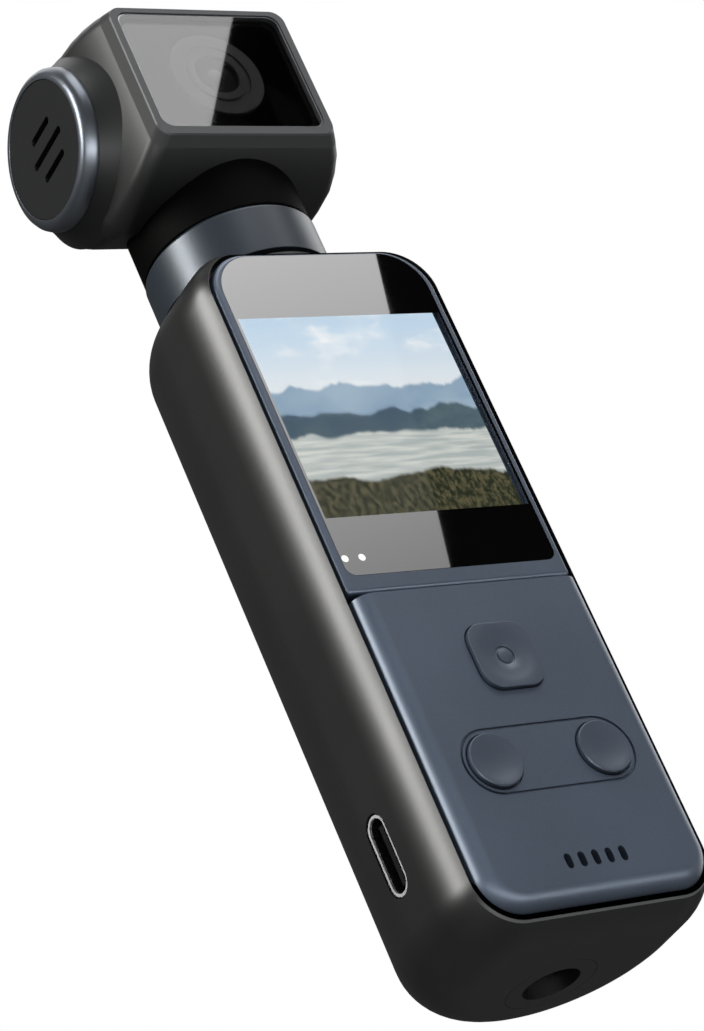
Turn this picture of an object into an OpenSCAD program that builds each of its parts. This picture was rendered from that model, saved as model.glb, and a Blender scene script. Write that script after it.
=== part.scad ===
// Pocket action camera at life size, in millimetres.
// The origin is the mouth of the tripod socket, on the axis that the head turns about.
// +Z runs up the grip, and -Y is the side with the screen and the keys.

/* [Grip] */
// Width of the grip
body_w = 32.4; // [32:0.1:34]
// Height of the grip, from the base to its shoulder
body_h = 84.4; // [83:0.2:90]
// Depth of the grip in front of the head's axis
front_depth = 13.85; // [13.6:0.05:14.2]
// Depth of the grip behind the head's axis
back_depth = 12.45; // [12.3:0.05:14]
// Radius of the corners seen from the front
corner_r = 6.5; // [6:0.1:7]
// Rounding of the shell's edge round its front
front_edge_r = 3; // [2.5:0.1:3]
// Wall of the rear shell
wall = 1.8; // [1.6:0.1:1.9]

/* [Front cover] */
// Width of the dark seam between shell and cover
seam_gap = 0.5; // [0.3:0.05:0.6]
// How far the screen bezel stands out of the shell's lip
bezel_proud = 0.25; // [0.1:0.05:0.4]
// How far the key panel stands out of the shell's lip
panel_proud = 1.45; // [1.3:0.05:1.7]
// Rounding of the key panel's front edge
panel_edge_r = 2; // [1.4:0.1:2.2]
// Height of the gap between bezel and key panel, at its middle
groove_z = 39.5; // [39.2:0.1:40]
// Width of that gap
groove_gap = 0.4; // [0.3:0.05:0.6]
// Width of the bezel beside the glass
screen_rail = 0.85; // [0.7:0.05:1]
// Height of the glass's lower edge
glass_bottom_z = 41.8; // [41.5:0.1:42.5]
// Thickness of the screen's glass
glass_t = 0.8; // [0.6:0.05:0.9]
// Height of the display's lower edge
lcd_z = 46.5; // [46:0.1:48]
// Height of the display
lcd_h = 30.5; // [28:0.1:31]

/* [Keys] */
// Side of the square record key's hole
record_hole = 8; // [7:0.1:8.4]
// Height of the record key's middle
record_z = 30; // [29.6:0.1:30.5]
// Radius of the round keys' holes
round_hole_r = 3.25; // [3:0.05:3.4]
// Distance of each round key's middle from the panel's side
round_key_in = 7.35; // [7.2:0.05:7.6]
// Height of the round keys' middle
round_key_z = 18.2; // [18:0.1:18.4]
// Gap round each key
key_gap = 0.15; // [0.1:0.05:0.2]
// How far each key stands out of the panel
key_proud = 0.5; // [0.4:0.05:0.6]
// Travel of each key
key_travel = 0.35; // [0.25:0.05:0.4]
// Number of speaker slots
slot_count = 5; // [3:2:7]
// Distance between speaker slots
slot_pitch = 1.7; // [1.5:0.05:1.8]

/* [Tripod socket] */
// Radius of the 1/4 inch socket's wall
socket_r = 3.2; // [3.1:0.05:3.3]
// Depth of the socket
socket_depth = 6; // [5:0.1:6.2]
// Outer radius of the socket's insert
insert_r = 5; // [4.6:0.1:5.2]

/* [Neck] */
// Radius of the neck
neck_r = 10.25; // [10:0.05:10.4]
// Height of the fixed neck above the shoulder
neck_h = 1.6; // [1.4:0.1:2]
// Height of the open groove between the fixed neck and the turning ring
neck_groove = 0.6; // [0.4:0.05:0.8]
// Height of the turning ring
ring_h = 6.4; // [6:0.1:6.6]
// Radius of the hollow spindle
spindle_r = 5.93; // [5.5:0.01:6]
// Radial running clearance of the spindle in its bush
run_gap = 0.07; // [0.05:0.01:0.09]
// Turn of the head to its left stop, in degrees
pan_left = 90; // [60:5:90]
// Turn of the head to its right stop, in degrees
pan_right = 180; // [120:5:180]

/* [Head] */
// Half the width of the head
head_half_w = 13.5; // [13.3:0.1:13.8]
// Radius of the head's round back
head_r = 11.3; // [11.1:0.1:11.6]
// Height of the head's middle above the shoulder
head_rise = 25.7; // [25.5:0.1:26.5]
// Distance of the side cap's axis behind the turning axis
head_axis_y = 1.25; // [1:0.05:1.5]
// Wall of the head
head_wall = 1.6; // [1.4:0.1:1.7]
// Distance of the window frame's front from the turning axis
window_y = 12.5; // [12.3:0.1:13]
// How far each side of the head draws in towards the window
head_taper = 1.9; // [1.8:0.05:2.1]
// Height of the head at the window
window_h = 18.3; // [18:0.1:18.5]
// Width of the frame beside the window's glass
frame_rail = 0.9; // [0.8:0.05:1.1]
// Radius of the lens's front ring
lens_ring_r = 5.8; // [5.4:0.1:5.9]
// Radius of the front lens
lens_r = 2.7; // [2.7:0.05:3]
// Radius of the side cap
cap_r = 9.3; // [9.1:0.1:9.4]
// How far the side cap stands out of the head's left side
cap_out = 3.7; // [3.6:0.1:4.2]

/* [Card and port] */
// Height of the USB-C port's middle
usb_z = 14.5; // [14:0.1:16]
// Height of the memory card's middle
card_z = 20; // [19:0.1:22]
// Length that the memory card slides out
card_travel = 8; // [4:0.5:9]

/* [Hidden] */
$fn = 64;
hull_fn = 32;

// Small lengths that many pieces share
overrun = 1;      // every cut runs this far past the face that it opens
seat_gap = 0.05;  // between pieces that are assembled and don't move
touch = 0.3;      // overlap of joined shapes inside one piece

// Grip: the seam, the lip and the cavity, as insets from the grip's outline
lip_back = 0.7;       // the lip stands back from the shell's front plane
seam_inset = 1.5;     // outline of the rebate that takes the cover, at the sides and below
seam_top_inset = 0.6; // and at the top
rebate_depth = 1.75;  // the cover seats this far behind the lip
cover_inset = seam_inset + seam_gap;
cover_top_inset = seam_top_inset + seam_gap;
ledge_w = 0.8;        // the ledge that the cover seats on is this wide
ledge_t = 1.4;
ledge_inset = cover_inset + ledge_w;
lip_y = -front_depth + lip_back;
shelf_y = lip_y + rebate_depth;
back_r = body_w / 2;
back_mid_y = back_depth - back_r;
cavity_half = body_w / 2 - wall;
cavity_top = body_h - wall;

// Front cover
bezel_y = lip_y - bezel_proud;
panel_y = lip_y - panel_proud;
bezel_edge_r = 0.5;
bezel_z = groove_z + groove_gap / 2;
panel_top_z = groove_z - groove_gap / 2;
panel_skin = 1.4;      // front wall of the key panel
panel_rim = 1.4;       // side wall of the key panel
skin_y = panel_y + panel_skin;
glass_half = body_w / 2 - cover_inset - screen_rail;
top_rail = 0.35;       // width of the bezel above the glass
glass_top_z = body_h - cover_top_inset - top_rail;
glass_top_r = corner_r - cover_top_inset - top_rail;
glass_low_r = 1.2;
lcd_ledge = 0.4;       // glass that rests on the bezel beside the display
lcd_half = glass_half - lcd_ledge;
lcd_y = bezel_y + glass_t;
light_r = 0.4;
light_in = 0.75;       // from the glass's side to the first light pipe
light_pitch = 2.05;
light_up = 2.1;        // from the glass's lower edge to the light pipes
light_x = [-glass_half + light_in, -glass_half + light_in + light_pitch];
light_z = glass_bottom_z + light_up;
holder_inset = 0.2;    // play of the display holder in the ledge
holder_t = 1;
holder_hole_in = 3;    // from the display's outline to the holder's windows
holder_bar = 1;        // half the bar between the windows
holder_hole_r = 2;

// Keys
round_key_x = body_w / 2 - cover_inset - round_key_in;
record_r = 2.3;        // corner radius of the record key's hole
record_key_w = record_hole - 2 * key_gap;
round_key_r = round_hole_r - key_gap;
dish_depth = 0.3;      // depth of the finger dish in each key
mark_r = 1.1;          // ring mark in the record key
mark_w = 0.25;
mark_depth = 0.15;
flange_out = 0.6;      // a key's flange reaches this far behind the panel's skin
flange_t = 0.5;
flange_gap = 0.1;
stem_r = 1.2;
stem_h = 0.45;
stem_y = skin_y + flange_gap + flange_t + stem_h;
mat_y = stem_y + key_travel + seat_gap;
mat_t = 0.5;
mat_margin = 1.2;      // the mat stops this far inside the board
mat_play = 0.2;        // between the mat and the posts
switch_y = mat_y + mat_t;
switch_t = 0.6;
switch_w = 3.4;
plunger_r = 1;
key_board_y = switch_y + switch_t;
key_board_t = 1;
board_play = 1.8;      // the boards stop this far inside the cavity
key_board_half = cavity_half - board_play;
key_board_z0 = 12.5;
key_board_z1 = 38.4;
post_r = 1.3;
post_inset = 1.9;      // from the key board's edge to a post's middle
pilot_r = 0.6;
post_spots = [for (x = [-1, 1], z = [key_board_z0 + post_inset, key_board_z1 - post_inset])
    [x * (key_board_half - post_inset), z]];
capsule_r = 3.85;      // outline of the line groove round the two round keys
capsule_w = 0.3;
capsule_depth = 0.35;

// Speaker behind its slots
slot_z = 6.35;
slot_w = 0.85;
slot_h = 1.7;
gasket_t = 0.5;
gasket_rim = 0.8;
speaker_w = 13;
speaker_h = 7.4;
speaker_t = 3;
speaker_y = skin_y + gasket_t;

// Tripod insert
insert_top = 1;        // metal above the socket's blind end
insert_h = socket_depth + insert_top;
insert_wall = 1.5;     // plastic round the insert
knurl_depth = 0.3;
knurl_w = 0.7;

// USB-C receptacle, whose sizes are a standard's
usb_w = 8.94;
usb_t = 3.26;
usb_sheet = 0.3;
usb_len = 7.35;
usb_play = 0.18;       // between the receptacle and the hole in the shell
usb_back = 0.2;        // the receptacle's mouth lies this far inside the shell's side
tongue_w = 6.7;
tongue_t = 0.7;
tongue_back = 0.6;
usb_block = 1.4;       // plug of plastic that closes the receptacle's inner end
usb_x = -body_w / 2 + usb_back;

// Main board and what sits on it
board_t = 1;
board_back_y = -6.13;  // back face of the main board, where port and card socket sit
board_front_y = board_back_y - board_t;
board_half = cavity_half - board_play;
board_z0 = 9.4;
board_z1 = 76;
board_corner_r = 2;
usb_y = board_back_y + usb_t / 2;
stand_r = 1.6;
stand_in = 0.8;        // from the board's side to a standoff's middle
stand_up = 23;         // from the board's lower edge to the lower standoffs
stand_down = 2;        // from its upper edge to the upper ones
stand_spots = [for (x = [-1, 1], z = [board_z0 + stand_up, board_z1 - stand_down])
    [x * (board_half - stand_in), z]];
hole_r = 0.9;
screw_r = 0.8;
screw_head_r = 1.4;
screw_head_t = 0.8;
screw_len = 4;
chip_t = 1.2;
processor_w = 12;
processor_up = 42.6;   // from the board's lower edge to the processor's middle
memory_w = 9;
memory_h = 8;
memory_x = 4;
radio_w = 5;
radio_h = 6;
radio_x = 7;
small_chips_down = 9;  // from the board's upper edge to the middle of the smaller chips
connector_w = 9;
connector_h = 3;
connector_z = 24.5;

// Battery and its pad
battery_side = 2.6;    // from the battery's side to the board's edge, room for the screws
battery_half = board_half - battery_side;
battery_t = 9.2;
battery_z0 = 34;
battery_z1 = 76;
battery_r = 1.2;
pad_t = 1.4;
pad_in = 2;            // the pad stops this far inside the battery's sides
pad_low = 4;           // and this far above its lower end
pad_top = 6;           // and this far below its upper end
battery_y = board_back_y + pad_t;
rib_t = 1.2;
rib_x = 5;

// Memory card and its socket, whose card sizes are a standard's
card_w = 11;
card_len = 15;
card_t = 1;
card_play = 0.15;
card_sheet = 0.35;
socket_len = 13.8;
card_y = board_back_y + card_sheet + card_play + card_t / 2;
card_back = 0.15;      // the card's end lies this far inside the shell's side
card_x1 = body_w / 2 - card_back;
card_slot_play = 0.3;
socket_back = 2;       // the socket's mouth lies this far inside the card's end
card_notch_w = 1.2;
card_notch_len = 6.4;

// Neck, from the shoulder up
neck_top = body_h + neck_h;
flange_h = neck_groove;
ring_z0 = neck_top + flange_h + seat_gap;
ring_z1 = ring_z0 + ring_h;
ring_edge = 0.5;
bush_in_r = spindle_r + run_gap;
bush_wall = 1.35;
bush_out_r = bush_in_r + bush_wall;
groove_depth = 1.3;    // the bush's flange lies this far inside the neck's surface
bush_flange_r = neck_r - groove_depth;
bush_below = 4.4;      // the bush reaches this far below the shoulder
bush_z0 = body_h - bush_below;
boss_r = 9.2;          // stiff boss inside the shell round the bush
lug_deg = 24;          // stop lug under the ring, and the slot that it turns in
lug_play_deg = 1.5;
lug_in = 0.55;         // from the bush's bore to the lug
lug_w = 1.15;
lug_r0 = bush_in_r + lug_in;
lug_r1 = lug_r0 + lug_w;
lug_gap = 0.1;
lug_mid_deg = 90;
spindle_bore_r = 4.2;
spindle_flange_r = 8;
spindle_flange_t = 1.6;
clip_t = 0.6;
clip_depth = 0.6;
clip_r = 7.8;
washer_t = 0.5;
washer_r = 8.4;
washer_z = bush_z0 - seat_gap - washer_t;
clip_z = washer_z - seat_gap - clip_t;
spindle_end = 0.9;     // spindle below its clip
spindle_screw_r = 6.95; // radius of the circle that the screws stand on
spindle_shank_r = 0.55;
spindle_head_r = 0.95;
spindle_screw_n = 3;
head_pocket = 1;       // room in the ring for the screws' heads

// Head
head_z = body_h + head_rise;
window_z = head_z;
window_w = 2 * (head_half_w - head_taper);
window_lift = 0.2;     // the glass's middle lies this far above the window's
head_edge_r = 2;       // rounding between the head's sides and its round back
stub_in = 0.15;        // the head's stub stands back from the ring's surface
stub_r = neck_r - stub_in;
plate_z = ring_z1 + spindle_flange_t;
split_y = 5.5;         // the rear cover closes the head behind this plane
split_up = 1.2;        // and ends this far above the head's lowest line
split_z = head_z - head_r + split_up;
// Sections of the head ahead of its round back, from the window to the last one: shares of their
// distance from the window's front, of the taper, of the rise above and fall below the window,
// and of the radius of the upper corners
frame_t = 1.4;         // thickness of the window's frame, which is the first two sections
section_len = 12.8;
section_rise = 2.1;
section_fall = 3.7;
section_top_r = 2.8;
section_low_r = 1.6;
back_shares = [0, frame_t / section_len, 0.211, 0.547, 1];
wide_shares = [0, 0.344, 0.611, 0.972, 1];
up_shares = [0, 0.182, 0.341, 0.773, 1];
down_shares = [0, 0.265, 0.485, 0.9, 1];
top_r_shares = [0.571, 0.714, 0.786, 0.929, 1];
section_back = section_len * back_shares;
section_wide = head_taper * wide_shares;
section_up = section_rise * up_shares;
section_down = section_fall * down_shares;
cavity_section = 2;    // the cavity starts at this section
section_t = 0.02;
glass_recess = 0.2;
window_glass_t = 0.75;
window_ledge = 0.65;
window_r = 1.4;
mask_t = 0.4;
mask_play = 0.2;

// Lens, from the window back to the sensor
lens_wall = 1;
lens_ring_t = 1;
lens_rise = 0.4;       // the lens's axis lies this far above the window's middle
lens_z = window_z + lens_rise;
mask_back_y = -window_y + frame_t + mask_t;
lens_ring_y = -window_y + glass_recess + window_glass_t + seat_gap;
barrel_y = lens_ring_y + lens_ring_t;
barrel_len = 6;
barrel_step = 0.6;     // the barrel is this much wider than its front wall
barrel_r = lens_r + lens_wall + barrel_step;
front_lens_t = 2;
rear_lens_t = 1.6;
rear_lens_r = 2.6;
holder_back = 3.4;     // from the barrel's front to the holder's
holder_y = barrel_y + holder_back;
holder_wall = 1.2;
holder_w = 14;
holder_len = 7.6;
sensor_board_y = holder_y + holder_len;
sensor_board_t = 1.2;
sensor_board_play = 0.8;
sensor_board_half = head_half_w - head_wall - sensor_board_play;
sensor_board_h = 15;
sensor_w = 8;
sensor_h = 6.6;
sensor_t = 0.9;
flex_w = 6;
flex_t = 0.3;
flex_below = 3.2;      // the flex reaches this far below the bush
flex_lap = 2;          // and laps the sensor's board this far
flex_z0 = bush_z0 - flex_below;

// Side cap
boss_foot_r = 11.2;    // the boss widens to this radius where it meets the head
boss_sink = 1.1;       // the boss's foot lies this far inside the head's side
boss_foot_x = head_half_w - boss_sink;
boss_waist_r = 9.75;
boss_waist_x = 0.7;    // height of the flare's waist above the head's side
boss_len = 1.8;
cap_bevel_r = 1.3;     // rounding of the ring: its drop in radius and its length
cap_bevel_x = 1.4;
cap_bevel_step = 22.5; // degrees from one flat of the rounding to the next
cap_face_back = 0.1;
cap_face_t = 0.8;
cap_shell = 0.9;
louvre_w = 0.85;
louvre_gap = 2.5;
louvre_len = [4.75, 7.5, 5.4];
louvre_y = -0.65;      // middle of the slots, from the cap's axis
louvre_z = -0.4;
mic_r = 2;
mic_t = 1.4;
boss_x1 = head_half_w + boss_len;
cap_x1 = head_half_w + cap_out;

// Rounded rectangle on the plane, with one radius below and one above
module panel_2d(w, z0, z1, low_r, top_r) {
    translate([-w / 2 + low_r, z0]) square([w - 2 * low_r, low_r + touch]);
    translate([-w / 2, z0 + low_r]) square([w, z1 - z0 - low_r - top_r]);
    translate([-w / 2 + top_r, z1 - top_r - touch]) square([w - 2 * top_r, top_r + touch]);
    for (side = [-1, 1]) {
        translate([side * (w / 2 - low_r), z0 + low_r]) circle(low_r);
        translate([side * (w / 2 - top_r), z1 - top_r]) circle(top_r);
    }
}

// Slot with round ends, wide along X
module slot_2d(len, w) {
    square([len - w, w], center = true);
    for (side = [-1, 1]) translate([side * (len - w) / 2, 0]) circle(w / 2);
}

// Stands a drawing up on the XZ plane and gives it depth from y0 back to y1
module along_y(y0, y1) {
    translate([0, y1, 0]) rotate([90, 0, 0]) linear_extrude(y1 - y0) children();
}

// The grip's outline seen from the front, drawn in by an inset
module grip_2d(inset) {
    panel_2d(body_w - 2 * inset, inset, body_h - inset, corner_r - inset, corner_r - inset);
}

// Quarter of a round bar's section: x out from the edge's centre, y forward
module quarter_2d(r) {
    intersection() {
        circle(r);
        square(r);
    }
}

// Upright plate with a rounded front edge: front face at y0, edge radius e, back face at y1
module plate(w, z0, z1, low_r, top_r, e, y0, y1) {
    along_y(y0 + e, y1) panel_2d(w, z0, z1, low_r, top_r);
    along_y(y0, y0 + e + touch) {
        translate([-w / 2 + e, z0 + low_r]) square([w - 2 * e, z1 - z0 - low_r - top_r]);
        translate([-w / 2 + low_r, z0 + e]) square([w - 2 * low_r, low_r - e + touch]);
        translate([-w / 2 + top_r, z1 - top_r - touch]) square([w - 2 * top_r, top_r - e + touch]);
    }
    for (side = [0, 1]) mirror([side, 0, 0]) {
        translate([w / 2 - e, y0 + e, z0 + low_r]) mirror([0, 1, 0])
            linear_extrude(z1 - z0 - low_r - top_r) quarter_2d(e);
        translate([w / 2 - low_r, y0 + e, z0 + low_r]) rotate([90, 0, 0]) mirror([0, 1, 0])
            corner(low_r, e);
        translate([w / 2 - top_r, y0 + e, z1 - top_r]) rotate([90, 0, 0]) corner(top_r, e);
    }
    edge_bar(w - 2 * low_r, e, y0 + e, z0 + e, 1);
    edge_bar(w - 2 * top_r, e, y0 + e, z1 - e, 0);
}

// Rounded corner of a plate, a quarter turn about +Z, e thick
module corner(r, e) {
    rotate_extrude(angle = 90) {
        if (r > e) square([r - e, e]);
        translate([r - e, 0]) quarter_2d(e);
    }
}

// Level rounded edge of a plate, on its lower or upper side
module edge_bar(len, e, y, z, low) {
    translate([-len / 2, y, z]) mirror([0, 0, low]) rotate([90, 0, 90])
        linear_extrude(len) mirror([1, 0, 0]) quarter_2d(e);
}

// The grip's half-round back, drawn in by an inset
module grip_back(inset) {
    translate([0, back_mid_y, 0]) rotate_extrude(angle = 180) intersection() {
        grip_2d(inset);
        square([body_w, body_h + overrun]);
    }
}

// The grip's straight middle and half-round back, drawn in by an inset
module grip_form(inset) {
    along_y(-front_depth + front_edge_r, back_mid_y) grip_2d(inset);
    grip_back(inset);
}

// Everything in front of the lip, to be taken off the shell
module ahead_of(y) {
    translate([-body_w, y - body_w, -overrun]) cube([2 * body_w, body_w, body_h + 2 * overrun]);
}

module rear_shell() color("dimgray") difference() {
    union() {
        difference() {
            union() {
                grip_back(0);
                plate(body_w, 0, body_h, corner_r, corner_r, front_edge_r, -front_depth,
                    back_mid_y);
            }
            grip_back(wall);
            along_y(shelf_y + ledge_t, back_mid_y) grip_2d(wall);
            along_y(-front_depth - overrun, back_mid_y) grip_2d(ledge_inset);
            along_y(-front_depth - overrun, shelf_y) panel_2d(body_w - 2 * seam_inset, seam_inset,
                body_h - seam_top_inset, corner_r - seam_inset, corner_r - seam_top_inset);
            ahead_of(lip_y);
        }
        // Neck and the boss round its bush
        intersection() {
            translate([0, 0, bush_z0]) cylinder(r = boss_r, h = neck_top - bush_z0);
            union() {
                grip_form(wall / 2);
                translate([0, 0, body_h]) cylinder(r = neck_r, h = neck_h);
            }
        }
        difference() {
            translate([0, 0, body_h - corner_r]) cylinder(r = neck_r, h = neck_h + corner_r);
            grip_form(wall / 2);
        }
        // Boss round the tripod insert
        translate([0, 0, wall / 2]) cylinder(r = insert_r + insert_wall, h = insert_h - wall / 2);
        // Standoffs and battery ribs, merged into the back wall
        intersection() {
            union() {
                for (s = stand_spots) translate([s[0], board_back_y, s[1]]) rotate([-90, 0, 0])
                    cylinder(r = stand_r, h = body_w);
                for (side = [-1, 1])
                    translate([side * rib_x - rib_t / 2, battery_y + battery_t, battery_z0])
                        cube([rib_t, body_w, battery_z1 - battery_z0]);
            }
            grip_form(wall / 2);
        }
    }
    translate([0, 0, bush_z0 - overrun]) cylinder(r = bush_out_r + seat_gap, h = body_h);
    translate([0, 0, -overrun]) cylinder(r = insert_r + seat_gap, h = insert_h + 2 * overrun);
    // USB-C port on the left, card slot on the right
    translate([-body_w / 2 - overrun, usb_y, usb_z]) rotate([0, 90, 0])
        linear_extrude(wall + 2 * overrun) slot_2d(usb_w + 2 * usb_play, usb_t + 2 * usb_play);
    translate([body_w / 2 - wall - overrun, card_y - card_t / 2 - card_slot_play,
        card_z - card_w / 2 - card_slot_play])
        cube([wall + 2 * overrun, card_t + 2 * card_slot_play, card_w + 2 * card_slot_play]);
    for (s = stand_spots) translate([s[0], board_back_y - overrun, s[1]]) rotate([-90, 0, 0])
        cylinder(r = screw_r + seat_gap, h = screw_len + overrun);
}

module screen_bezel() color("slategray") difference() {
    plate(body_w - 2 * cover_inset, bezel_z, body_h - cover_top_inset, bezel_edge_r,
        corner_r - cover_top_inset, bezel_edge_r, bezel_y, shelf_y);
    along_y(bezel_y - overrun, lcd_y) screen_2d(seat_gap);
    along_y(lcd_y - overrun, shelf_y + overrun) translate([-lcd_half - seat_gap, lcd_z - seat_gap])
        square([2 * (lcd_half + seat_gap), lcd_h + 2 * seat_gap]);
    along_y(lcd_y - overrun, shelf_y + overrun) for (x = light_x) translate([x, light_z])
        circle(light_r + seat_gap);
}

// Outline of the screen's glass, let out by a play
module screen_2d(play) {
    panel_2d(2 * (glass_half + play), glass_bottom_z - play, glass_top_z + play,
        glass_low_r + play, glass_top_r + play);
}

module screen_glass() color("black") along_y(bezel_y, lcd_y) screen_2d(0);

module display_panel() color("lightskyblue") translate([-lcd_half, lcd_y, lcd_z])
    cube([2 * lcd_half, shelf_y - lcd_y, lcd_h]);

module indicator_lights() color("white") along_y(lcd_y, shelf_y) for (x = light_x)
    translate([x, light_z]) circle(light_r);

module display_holder() color("silver") difference() {
    along_y(shelf_y, shelf_y + holder_t) intersection() {
        grip_2d(ledge_inset + holder_inset);
        translate([-body_w / 2, bezel_z + mat_margin]) square([body_w, body_h]);
    }
    // Windows that lighten the pressed sheet
    for (z = [lcd_z + holder_hole_in - holder_bar, lcd_z + lcd_h / 2 + holder_bar])
        along_y(shelf_y - overrun, shelf_y + holder_t + overrun)
            panel_2d(2 * (lcd_half - holder_hole_in), z, z + lcd_h / 2 - holder_hole_in,
                holder_hole_r, holder_hole_r);
}

// The two round keys' places
module at_round_keys() {
    for (side = [-1, 1]) translate([side * round_key_x, round_key_z]) children();
}

module key_panel() color("slategray") {
    difference() {
        plate(body_w - 2 * cover_inset, cover_inset, panel_top_z + panel_edge_r + touch,
            corner_r - cover_inset, panel_edge_r, panel_edge_r, panel_y, shelf_y);
        translate([-body_w, panel_y - overrun, panel_top_z]) cube([2 * body_w, body_w, body_w]);
        along_y(skin_y, shelf_y + overrun)
            panel_2d(body_w - 2 * (cover_inset + panel_rim), cover_inset + panel_rim,
                panel_top_z - panel_rim, corner_r - cover_inset - panel_rim, panel_rim);
        along_y(panel_y - overrun, skin_y + overrun) {
            record_2d(0);
            at_round_keys() circle(round_hole_r);
            for (i = [0 : slot_count - 1])
                translate([(i - (slot_count - 1) / 2) * slot_pitch, slot_z]) rotate(90)
                    slot_2d(slot_h, slot_w);
        }
        along_y(panel_y - overrun, panel_y + capsule_depth) translate([0, round_key_z])
            difference() {
                slot_2d(2 * (round_key_x + capsule_r), 2 * capsule_r);
                slot_2d(2 * (round_key_x + capsule_r - capsule_w), 2 * (capsule_r - capsule_w));
            }
    }
    // Posts that carry the key board
    difference() {
        for (p = post_spots) along_y(skin_y - touch, key_board_y) translate(p) circle(post_r);
        for (p = post_spots) along_y(skin_y, key_board_y + overrun) translate(p) circle(pilot_r + seat_gap);
    }
}

// Outline of the record key's hole, drawn in by an inset
module record_2d(inset) {
    translate([0, record_z]) panel_2d(record_hole - 2 * inset, -record_hole / 2 + inset,
        record_hole / 2 - inset, record_r - inset, record_r - inset);
}

// Ball that cuts a finger dish of the given width into a face at y
module dish(width, y) {
    r = (width * width / 4 + dish_depth * dish_depth) / (2 * dish_depth);
    translate([0, y + dish_depth - r, 0]) rotate([90, 0, 0]) sphere(r = r, $fn = 4 * hull_fn);
}

// Stem and flange behind a key, whose face the children draw
module key_back() {
    along_y(skin_y + flange_gap, skin_y + flange_gap + flange_t) children();
    along_y(skin_y + flange_gap, stem_y) circle(stem_r);
}

module record_key() color("slategray") translate([0, 0, record_z]) difference() {
    union() {
        translate([0, 0, -record_z]) along_y(panel_y - key_proud, skin_y + flange_gap + touch)
            record_2d(key_gap);
        key_back() translate([0, -record_z]) record_2d(-flange_out);
    }
    dish(record_key_w - 2 * key_gap, panel_y - key_proud);
    along_y(panel_y - overrun, panel_y - key_proud + dish_depth + mark_depth) difference() {
        circle(mark_r);
        circle(mark_r - mark_w);
    }
}

// Round key about its own middle, with a finger dish
module round_key() {
    difference() {
        union() {
            along_y(panel_y - key_proud, skin_y + flange_gap + touch) circle(round_key_r);
            key_back() circle(round_hole_r + flange_out);
        }
        dish(2 * (round_key_r - key_gap), panel_y - key_proud);
    }
}

module menu_key() color("slategray") translate([-round_key_x, 0, round_key_z]) round_key();

module power_key() color("slategray") translate([round_key_x, 0, round_key_z]) round_key();

module key_mat() color("gray") along_y(mat_y, switch_y)
    panel_2d(2 * (key_board_half - post_inset - post_r - mat_play), key_board_z0 + mat_margin,
        key_board_z1 - mat_margin, mat_margin, mat_margin);

module key_switches() color("gainsboro") {
    for (p = [[0, record_z], [-round_key_x, round_key_z], [round_key_x, round_key_z]]) {
        along_y(switch_y + switch_t / 3, key_board_y) translate(p) square(switch_w, center = true);
        along_y(switch_y, key_board_y) translate(p) circle(plunger_r);
    }
}

module key_board() color("darkgreen") difference() {
    along_y(key_board_y, key_board_y + key_board_t)
        panel_2d(2 * key_board_half, key_board_z0, key_board_z1, mat_margin, mat_margin);
    for (p = post_spots) along_y(key_board_y - overrun, key_board_y + key_board_t + overrun)
        translate(p) circle(pilot_r + 2 * seat_gap);
}

module key_board_screws() color("silver") for (p = post_spots) {
    along_y(key_board_y - panel_skin, key_board_y + key_board_t) translate(p) circle(pilot_r);
    along_y(key_board_y + key_board_t, key_board_y + key_board_t + screw_head_t) translate(p)
        circle(2 * pilot_r);
}

module speaker() color("dimgray") {
    along_y(speaker_y, speaker_y + speaker_t) translate([0, speaker_mid()])
        slot_2d(speaker_w, speaker_h);
    along_y(speaker_y + speaker_t - touch, speaker_y + speaker_t + gasket_t)
        translate([0, speaker_mid()]) circle(speaker_h / 3);
}

// Height of the speaker's middle, which clears the panel's rim
function speaker_mid() = cover_inset + panel_rim + 2 * seat_gap + speaker_h / 2;

module speaker_gasket() color("black") along_y(skin_y, speaker_y) translate([0, speaker_mid()])
    difference() {
        slot_2d(speaker_w, speaker_h);
        slot_2d(speaker_w - 2 * gasket_rim, speaker_h - 2 * gasket_rim);
    }

module main_board() color("darkgreen") difference() {
    along_y(board_front_y, board_back_y)
        panel_2d(2 * board_half, board_z0, board_z1, board_corner_r, board_corner_r);
    for (s = stand_spots) along_y(board_front_y - overrun, board_back_y + overrun) translate(s)
        circle(hole_r);
}

module main_board_screws() color("silver") for (s = stand_spots) {
    along_y(board_front_y, board_back_y + screw_len - board_t) translate(s) circle(screw_r);
    along_y(board_front_y - screw_head_t, board_front_y) translate(s) circle(screw_head_r);
}

module main_chips() color("black") {
    along_y(board_front_y - chip_t, board_front_y) {
        translate([0, board_z0 + processor_up]) square(processor_w, center = true);
        translate([-memory_x, board_z1 - small_chips_down]) square([memory_w, memory_h], center = true);
        translate([radio_x, board_z1 - small_chips_down]) square([radio_w, radio_h], center = true);
    }
}

module board_connector() color("ivory") along_y(key_board_y + key_board_t, board_front_y)
    translate([0, connector_z]) square([connector_w, connector_h], center = true);

module battery() color("royalblue") along_y(battery_y, battery_y + battery_t)
    panel_2d(2 * battery_half, battery_z0, battery_z1, battery_r, battery_r);

module battery_pad() color("black") along_y(board_back_y, battery_y)
    panel_2d(2 * (battery_half - pad_in), battery_z0 + pad_low, battery_z1 - pad_top, battery_r,
        battery_r);

// Draws on the plane across the receptacle's axis and gives it length from x0 to x1
module along_x(x0, x1, y, z) {
    translate([x0, y, z]) rotate([0, 90, 0]) linear_extrude(x1 - x0) children();
}

module usb_shell() color("silver") difference() {
    along_x(usb_x, usb_x + usb_len, usb_y, usb_z) slot_2d(usb_w, usb_t);
    along_x(usb_x - overrun, usb_x + usb_len + overrun, usb_y, usb_z)
        slot_2d(usb_w - 2 * usb_sheet, usb_t - 2 * usb_sheet);
}

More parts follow.
